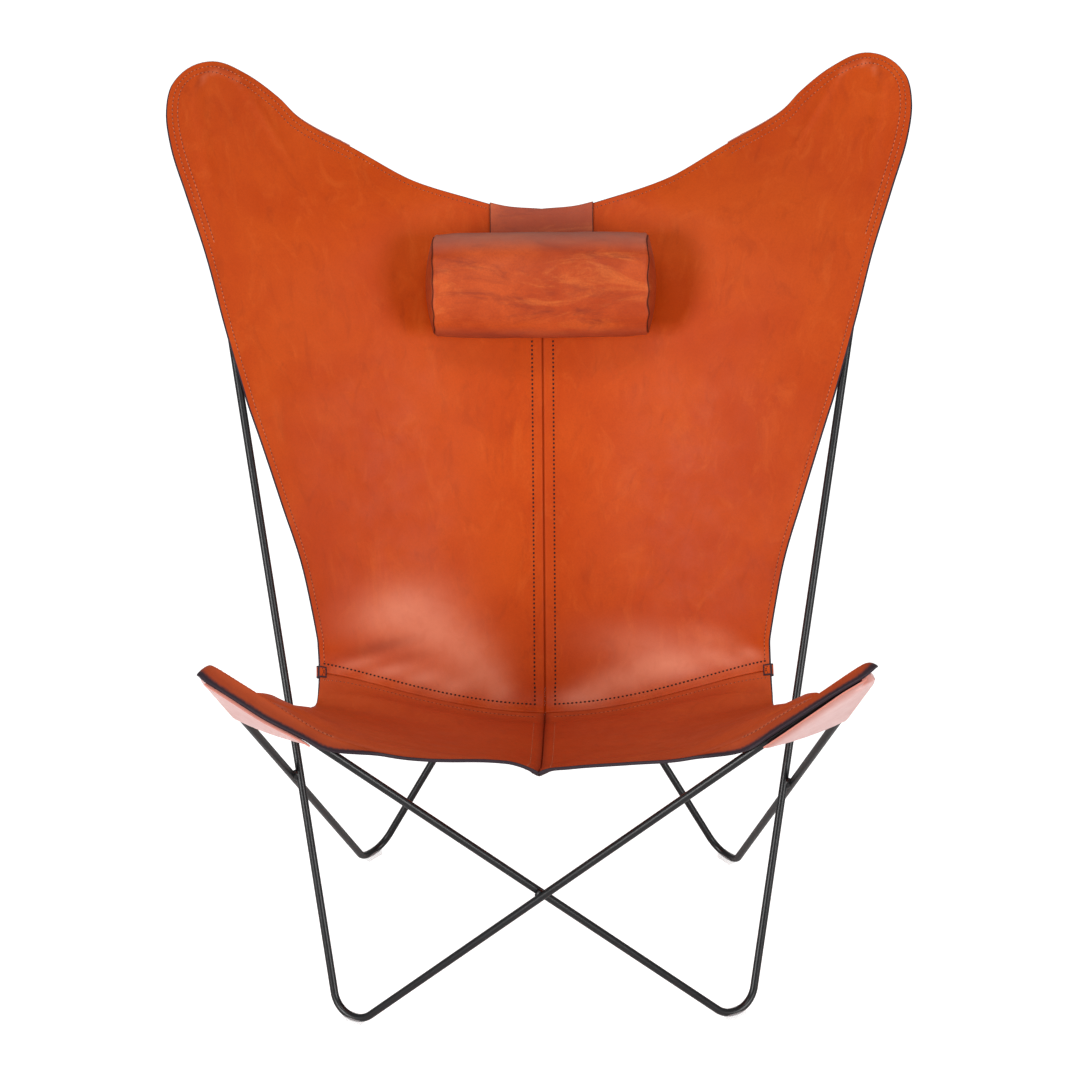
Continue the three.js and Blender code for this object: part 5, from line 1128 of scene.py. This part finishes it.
def makeStitches(name, lines, thread, body="chair", other={}, **sizes):
    # Lines and sizes are in millimetres; other values go to the tree as they are
    curve = bpy.data.curves.new(name + "Line", "CURVE")
    curve.dimensions = "3D"
    for line in map(metres, lines):
        spline = curve.splines.new("POLY")
        spline.points.add(len(line) - 1)
        spline.points.foreach_set("co", np.concatenate([line, np.ones((len(line), 1))], 1).ravel())
    source = addObject(name + "Line", curve)
    modifier = source.modifiers.new("stitches", "NODES")
    modifier.node_group = stitchGroup
    idents = {i.name: i.identifier for i in stitchGroup.interface.items_tree if i.in_out == "INPUT"}
    for key, value in {**{key: size / 1000 for key, size in sizes.items()}, **other, "Thread": thread}.items():
        modifier[idents[key]] = value
    mesh = bpy.data.meshes.new_from_object(source.evaluated_get(bpy.context.evaluated_depsgraph_get()))
    mesh.name = name
    bpy.data.objects.remove(source)
    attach(addObject(name, mesh), body)

stitchRows = dict(edge=6.0, second=12.0, centre=14.0, crossShare=0.7, seatShare=0.35, skirt=11.5, pitch=5.6,
                  length=3.6, width=1.3, hole=2.2, holeWide=1.15, dash=3.2, dashWidth=2.6, plain=5, secondFront=5,
                  foldEnd=0.97, sink=0.05, tolerance=0.985, middleClear=4, earShort=4, secondOver=24, secondShort=6,
                  neckShort=3, hemClear=4, frontClear=8, rearClear=2)
tabThread = dict(Pitch=2.6, Length=2.2, Width=0.9)
pouchThread = dict(Pitch=5, Length=3.6, Width=0.9)

def sideOffset(line, distance, a, b):
    # A flat line moved to its left, in the plane of axes a and b, less the points that a tight turn crosses
    way = np.gradient(line, axis=0)
    way = way / np.hypot(way[:, a], way[:, b])[:, None]
    moved = line.copy()
    moved[:, a] -= way[:, b] * distance
    moved[:, b] += way[:, a] * distance
    gap = np.hypot(moved[:, None, a] - line[None, :, a], moved[:, None, b] - line[None, :, b]).min(1)
    return moved[gap > distance * stitchRows["tolerance"]]

def slopes(height, a, b, step=0.5):
    return ((height(a + step, b) - height(a - step, b)) / (2 * step),
            (height(a, b + step) - height(a, b - step)) / (2 * step))

def onSkin(half, p, normal, out):
    return p + unit(normal) * (out + sway(p * [half.side, 1, 1]))[:, None]

def backLine(half, x, z, out):
    fx, fz = slopes(half.backDepth, x, z)
    p = half.backPoint(x, z)
    return onSkin(half, p, point(fx, -1, fz), out + earRidge(half, p)[0])

def seatLineOn(half, x, y, out):
    fx, fy = slopes(half.seatHeight, x, y)
    return onSkin(half, half.seatPoint(x, y), point(-fx, -fy, 1), out)

def bendLine(half, u, t, out, step=0.01):
    flat = lambda a, b: half.bend(a, b).reshape(-1, 3)
    normal = np.cross(flat(u + step, t) - flat(u - step, t), flat(u, t + step) - flat(u, t - step))
    return onSkin(half, flat(u, t), normal, out)

def slingRows(half, faceUp):
    # Rows of one side of the sling, on its face or on its rear
    s = stitchRows
    skin = sling["leather"] / 2 - s["sink"]
    out = skin if faceUp else -skin
    strip = skin if faceUp else -skin - 2 * fitGap - sling["strip"]
    pocket = skin if faceUp else -skin - 2 * fitGap - sling["pocket"]
    below = lambda line: half.belowEar(line[:, 0], line[:, 2])
    edge = sideOffset(half.outline, s["edge"], 0, 2)
    edge = edge[edge[:, 0] > s["middleClear"]]
    inEar = np.where(below(edge) < sling["earPocketDepth"] - s["earShort"], pocket, out)
    second = sideOffset(half.outline, s["second"], 0, 2)
    second = second[below(second) < sling["earPocketDepth"] + (s["secondOver"] if faceUp else -s["secondShort"])]
    u, uMid = 1 - s["edge"] / half.waistHalf, s["centre"] / half.waistHalf
    fold, cross = np.linspace(s["crossShare"], s["foldEnd"], 24), np.linspace(uMid, u, 160)
    z = np.linspace(half.backHem(0.0)[2] + s["hemClear"], sling["necklineRise"] - s["neckShort"], 260)
    rows = dict(edge=[np.concatenate([bendLine(half, u, fold, out), backLine(half, edge[:, 0], edge[:, 2], inEar)]),
                      backLine(half, second[:, 0], second[:, 2], pocket)],
                cross=[bendLine(half, cross, s["crossShare"], out),
                       np.concatenate([bendLine(half, uMid, fold, strip),
                                       backLine(half, np.full_like(z, s["centre"]), z, strip)])])
    if faceUp:
        rows["edge"].append(bendLine(half, cross, s["seatShare"], out))
        for way in (s["skirt"], s["skirt"] + s["secondFront"]):
            front = sideOffset(half.seatLine[:half.tipAt], way, 0, 1)
            front = front[front[:, 0] > half.skirtStart * half.horn[0]]
            rows["edge"].append(seatLineOn(half, front[:, 0], front[:, 1], out))
        y = np.linspace(s["frontClear"] - sling["seatFrontReach"], half.seatHem(0.0)[1] - s["rearClear"], 120)
        rows["plain"] = [seatLineOn(half, np.full_like(y, s["centre"]), y, out)]
    return rows

def addStitchPair(name, lines, thread):
    s = stitchRows
    makeStitches(name, lines, thread, Pitch=s["pitch"], Length=s["length"], Width=s["width"])
    # Dark marks in the holes between the stitches: painted shade
    makeStitches(name + "Holes", lines, holeShade, Pitch=s["pitch"], Start=s["pitch"] / 2, Length=s["hole"],
                 Width=s["width"] * s["holeWide"], other={"Unevenness": 0.0})

def tabCross(rows):
    a, b, c, d = rows[5, 3], rows[5, 9], rows[16, 3], rows[16, 9]
    facing = unit(np.cross(b - a, c - a)) * (tab["leather"] / 2)
    if facing[1] > 0:
        facing = -facing
    return [np.array([a, d]) + facing, np.array([b, c]) + facing]

def addStitches(side, name):
    s, face, rear = stitchRows, slingRows(halves[side], True), slingRows(halves[side], False)
    flip = lambda lines: [line * [side, 1, 1] for line in lines]
    addStitchPair("edgeStitches_" + name, flip(face["edge"]), warmThread)
    makeStitches("seatStitches_" + name, flip(face["plain"]), warmThread, Pitch=s["pitch"], Length=s["plain"],
                 Width=s["width"])
    makeStitches("seamStitches_" + name, flip(face["cross"]), darkThread, Pitch=s["pitch"], Length=s["dash"],
                 Width=s["dashWidth"])
    addStitchPair("rearStitches_" + name, flip(rear["edge"] + rear["cross"]), warmThread)
    makeStitches("tabStitches_" + name, flip(tabCross(tabRows[side])), darkThread, **tabThread)

for side, name in sideNames.items():
    addStitches(side, name)

low, high = pouch["border"], pouch["grain"] - 1 - pouch["border"]
within = slice(low + 1, high)
border = np.concatenate([pouchBack[low, within], pouchBack[within, high], pouchBack[high, within][::-1],
                         pouchBack[within, low][::-1]])
makeStitches("pouchStitches", [border - chordFront * 0.2], warmThread, body="counterweight", **pouchThread)
print("stitches made")

# Glides, and the bars, which stay as drawn
def addGlide(node):
    made = bmesh.new()
    made.from_mesh(node.data)
    bmesh.ops.remove_doubles(made, verts=made.verts, dist=1e-6)
    bmesh.ops.dissolve_limit(made, angle_limit=0.02, verts=made.verts, edges=made.edges)
    sharp = [e for e in made.edges if len(e.link_faces) == 2 and e.calc_face_angle(0) > 0.9]
    bmesh.ops.bevel(made, geom=sharp, offset=0.0005, segments=3, affect="EDGES", profile=0.5)
    mesh = bpy.data.meshes.new(node.name + "Soft")
    made.to_mesh(mesh)
    made.free()
    mesh.materials.append(clearPlastic)
    obj = addObject("soft_" + node.name, mesh)
    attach(obj, "chair")
    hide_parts(node.name)

for nodeName, node in list(nodes.items()):
    if nodeName.startswith("glide"):
        addGlide(node)
    elif nodeName.startswith("weight"):
        node.data.materials.clear()
        node.data.materials.append(weightSteel)

# Pale floor and backdrop; rays to the picture see them brighter, also through the clear glides
studio = dict(reach=12, low=-0.0005, glow=0.85, dim=0.34, bright=1.0)

def pictureRays(tree):
    rays = addNode(tree, "ShaderNodeLightPath").outputs
    return addNode(tree, "ShaderNodeMath", {0: rays["Is Camera Ray"], 1: rays["Is Transmission Ray"]},
                   operation="MAXIMUM").outputs[0]

def makeFloor():
    mesh, reach = bpy.data.meshes.new("floor"), studio["reach"]
    corners = [(-reach, -reach), (reach, -reach), (reach, reach), (-reach, reach)]
    mesh.from_pydata([(x, y, studio["low"]) for x, y in corners], [], [(0, 1, 2, 3)])
    obj = addObject("floor", mesh)
    material = bpy.data.materials.new("paleFloor")
    material.use_nodes = True
    tree = material.node_tree
    shader = tree.nodes["Principled BSDF"]
    fill(tree, shader, {"Base Color": srgb(240, 240, 240), "Roughness": 0.9, "Specular IOR Level": 0.0})
    seen = addNode(tree, "ShaderNodeMath", {0: pictureRays(tree), 1: studio["glow"]}, operation="MULTIPLY")
    glow = addNode(tree, "ShaderNodeEmission", {"Strength": seen.outputs[0]})
    total = addNode(tree, "ShaderNodeAddShader", {0: shader.outputs[0], 1: glow.outputs[0]})
    fill(tree, tree.nodes["Material Output"], {"Surface": total.outputs[0]})
    mesh.materials.append(material)

def makeWorld():
    world = bpy.data.worlds.new("studio")
    bpy.context.scene.world = world
    world.use_nodes = True
    tree = world.node_tree
    level = addNode(tree, "ShaderNodeMapRange", {"Value": pictureRays(tree), "To Min": studio["dim"],
                                                 "To Max": studio["bright"]})
    fill(tree, tree.nodes["Background"], {"Color": (1, 1, 1, 1), "Strength": level.outputs["Result"]})

lamps = [dict(name="frontLeft", place=(-2.2, -2.3, 1.2), aim=(0, 0, 0.6), size=(1.0, 1.4), watts=44),
         dict(name="frontRight", place=(2.2, -2.3, 1.2), aim=(0, 0, 0.6), size=(1.0, 1.4), watts=38),
         dict(name="topFront", place=(-0.2, -1.5, 2.9), aim=(0, 0.2, 0.45), size=(1.5, 0.6), watts=14)]

def makeLamps():
    for lamp in lamps:
        data = bpy.data.lights.new(lamp["name"], "AREA")
        data.shape = "RECTANGLE"
        data.size, data.size_y = lamp["size"]
        data.energy = lamp["watts"]
        obj = addObject(lamp["name"], data)
        obj.location = lamp["place"]
        obj.rotation_mode = "QUATERNION"
        obj.rotation_quaternion = (Vector(lamp["aim"]) - Vector(lamp["place"])).to_track_quat("-Z", "Y")

# Camera, as worked out from the photograph: millimetres in the drawing, and radians
view = dict(sensor=36, reach=2229.3, frameSize=1080, back=2300.3, height=1741.7, side=4.9, down=math.radians(25),
            roll=-0.0168, yaw=0.026)

def makeCamera():
    data = bpy.data.cameras.new("camera")
    data.sensor_width = view["sensor"]
    data.lens = view["sensor"] * view["reach"] / view["frameSize"]
    data.clip_start, data.clip_end = 0.05, 60
    obj = addObject("camera", data)
    c, s = math.cos(view["roll"]), math.sin(view["roll"])
    across = np.array([1, 0, 0.0])
    upward = np.array([0, math.sin(view["down"]), math.cos(view["down"])])
    ahead = np.array([0, math.cos(view["down"]), -math.sin(view["down"])])
    axes = np.stack([c * across + s * upward, c * upward - s * across, -ahead], 1)
    turn = np.array(Matrix.Rotation(view["yaw"], 3, "Z"))
    place = turn @ np.array([view["side"], -view["back"], view["height"]])
    obj.matrix_world = Matrix.Translation(metres(place)) @ Matrix(turn @ axes).to_4x4()
    bpy.context.scene.camera = obj

makeFloor()
makeWorld()
makeLamps()
makeCamera()
bpy.context.scene.view_settings.view_transform = "Standard"
print("studio made")
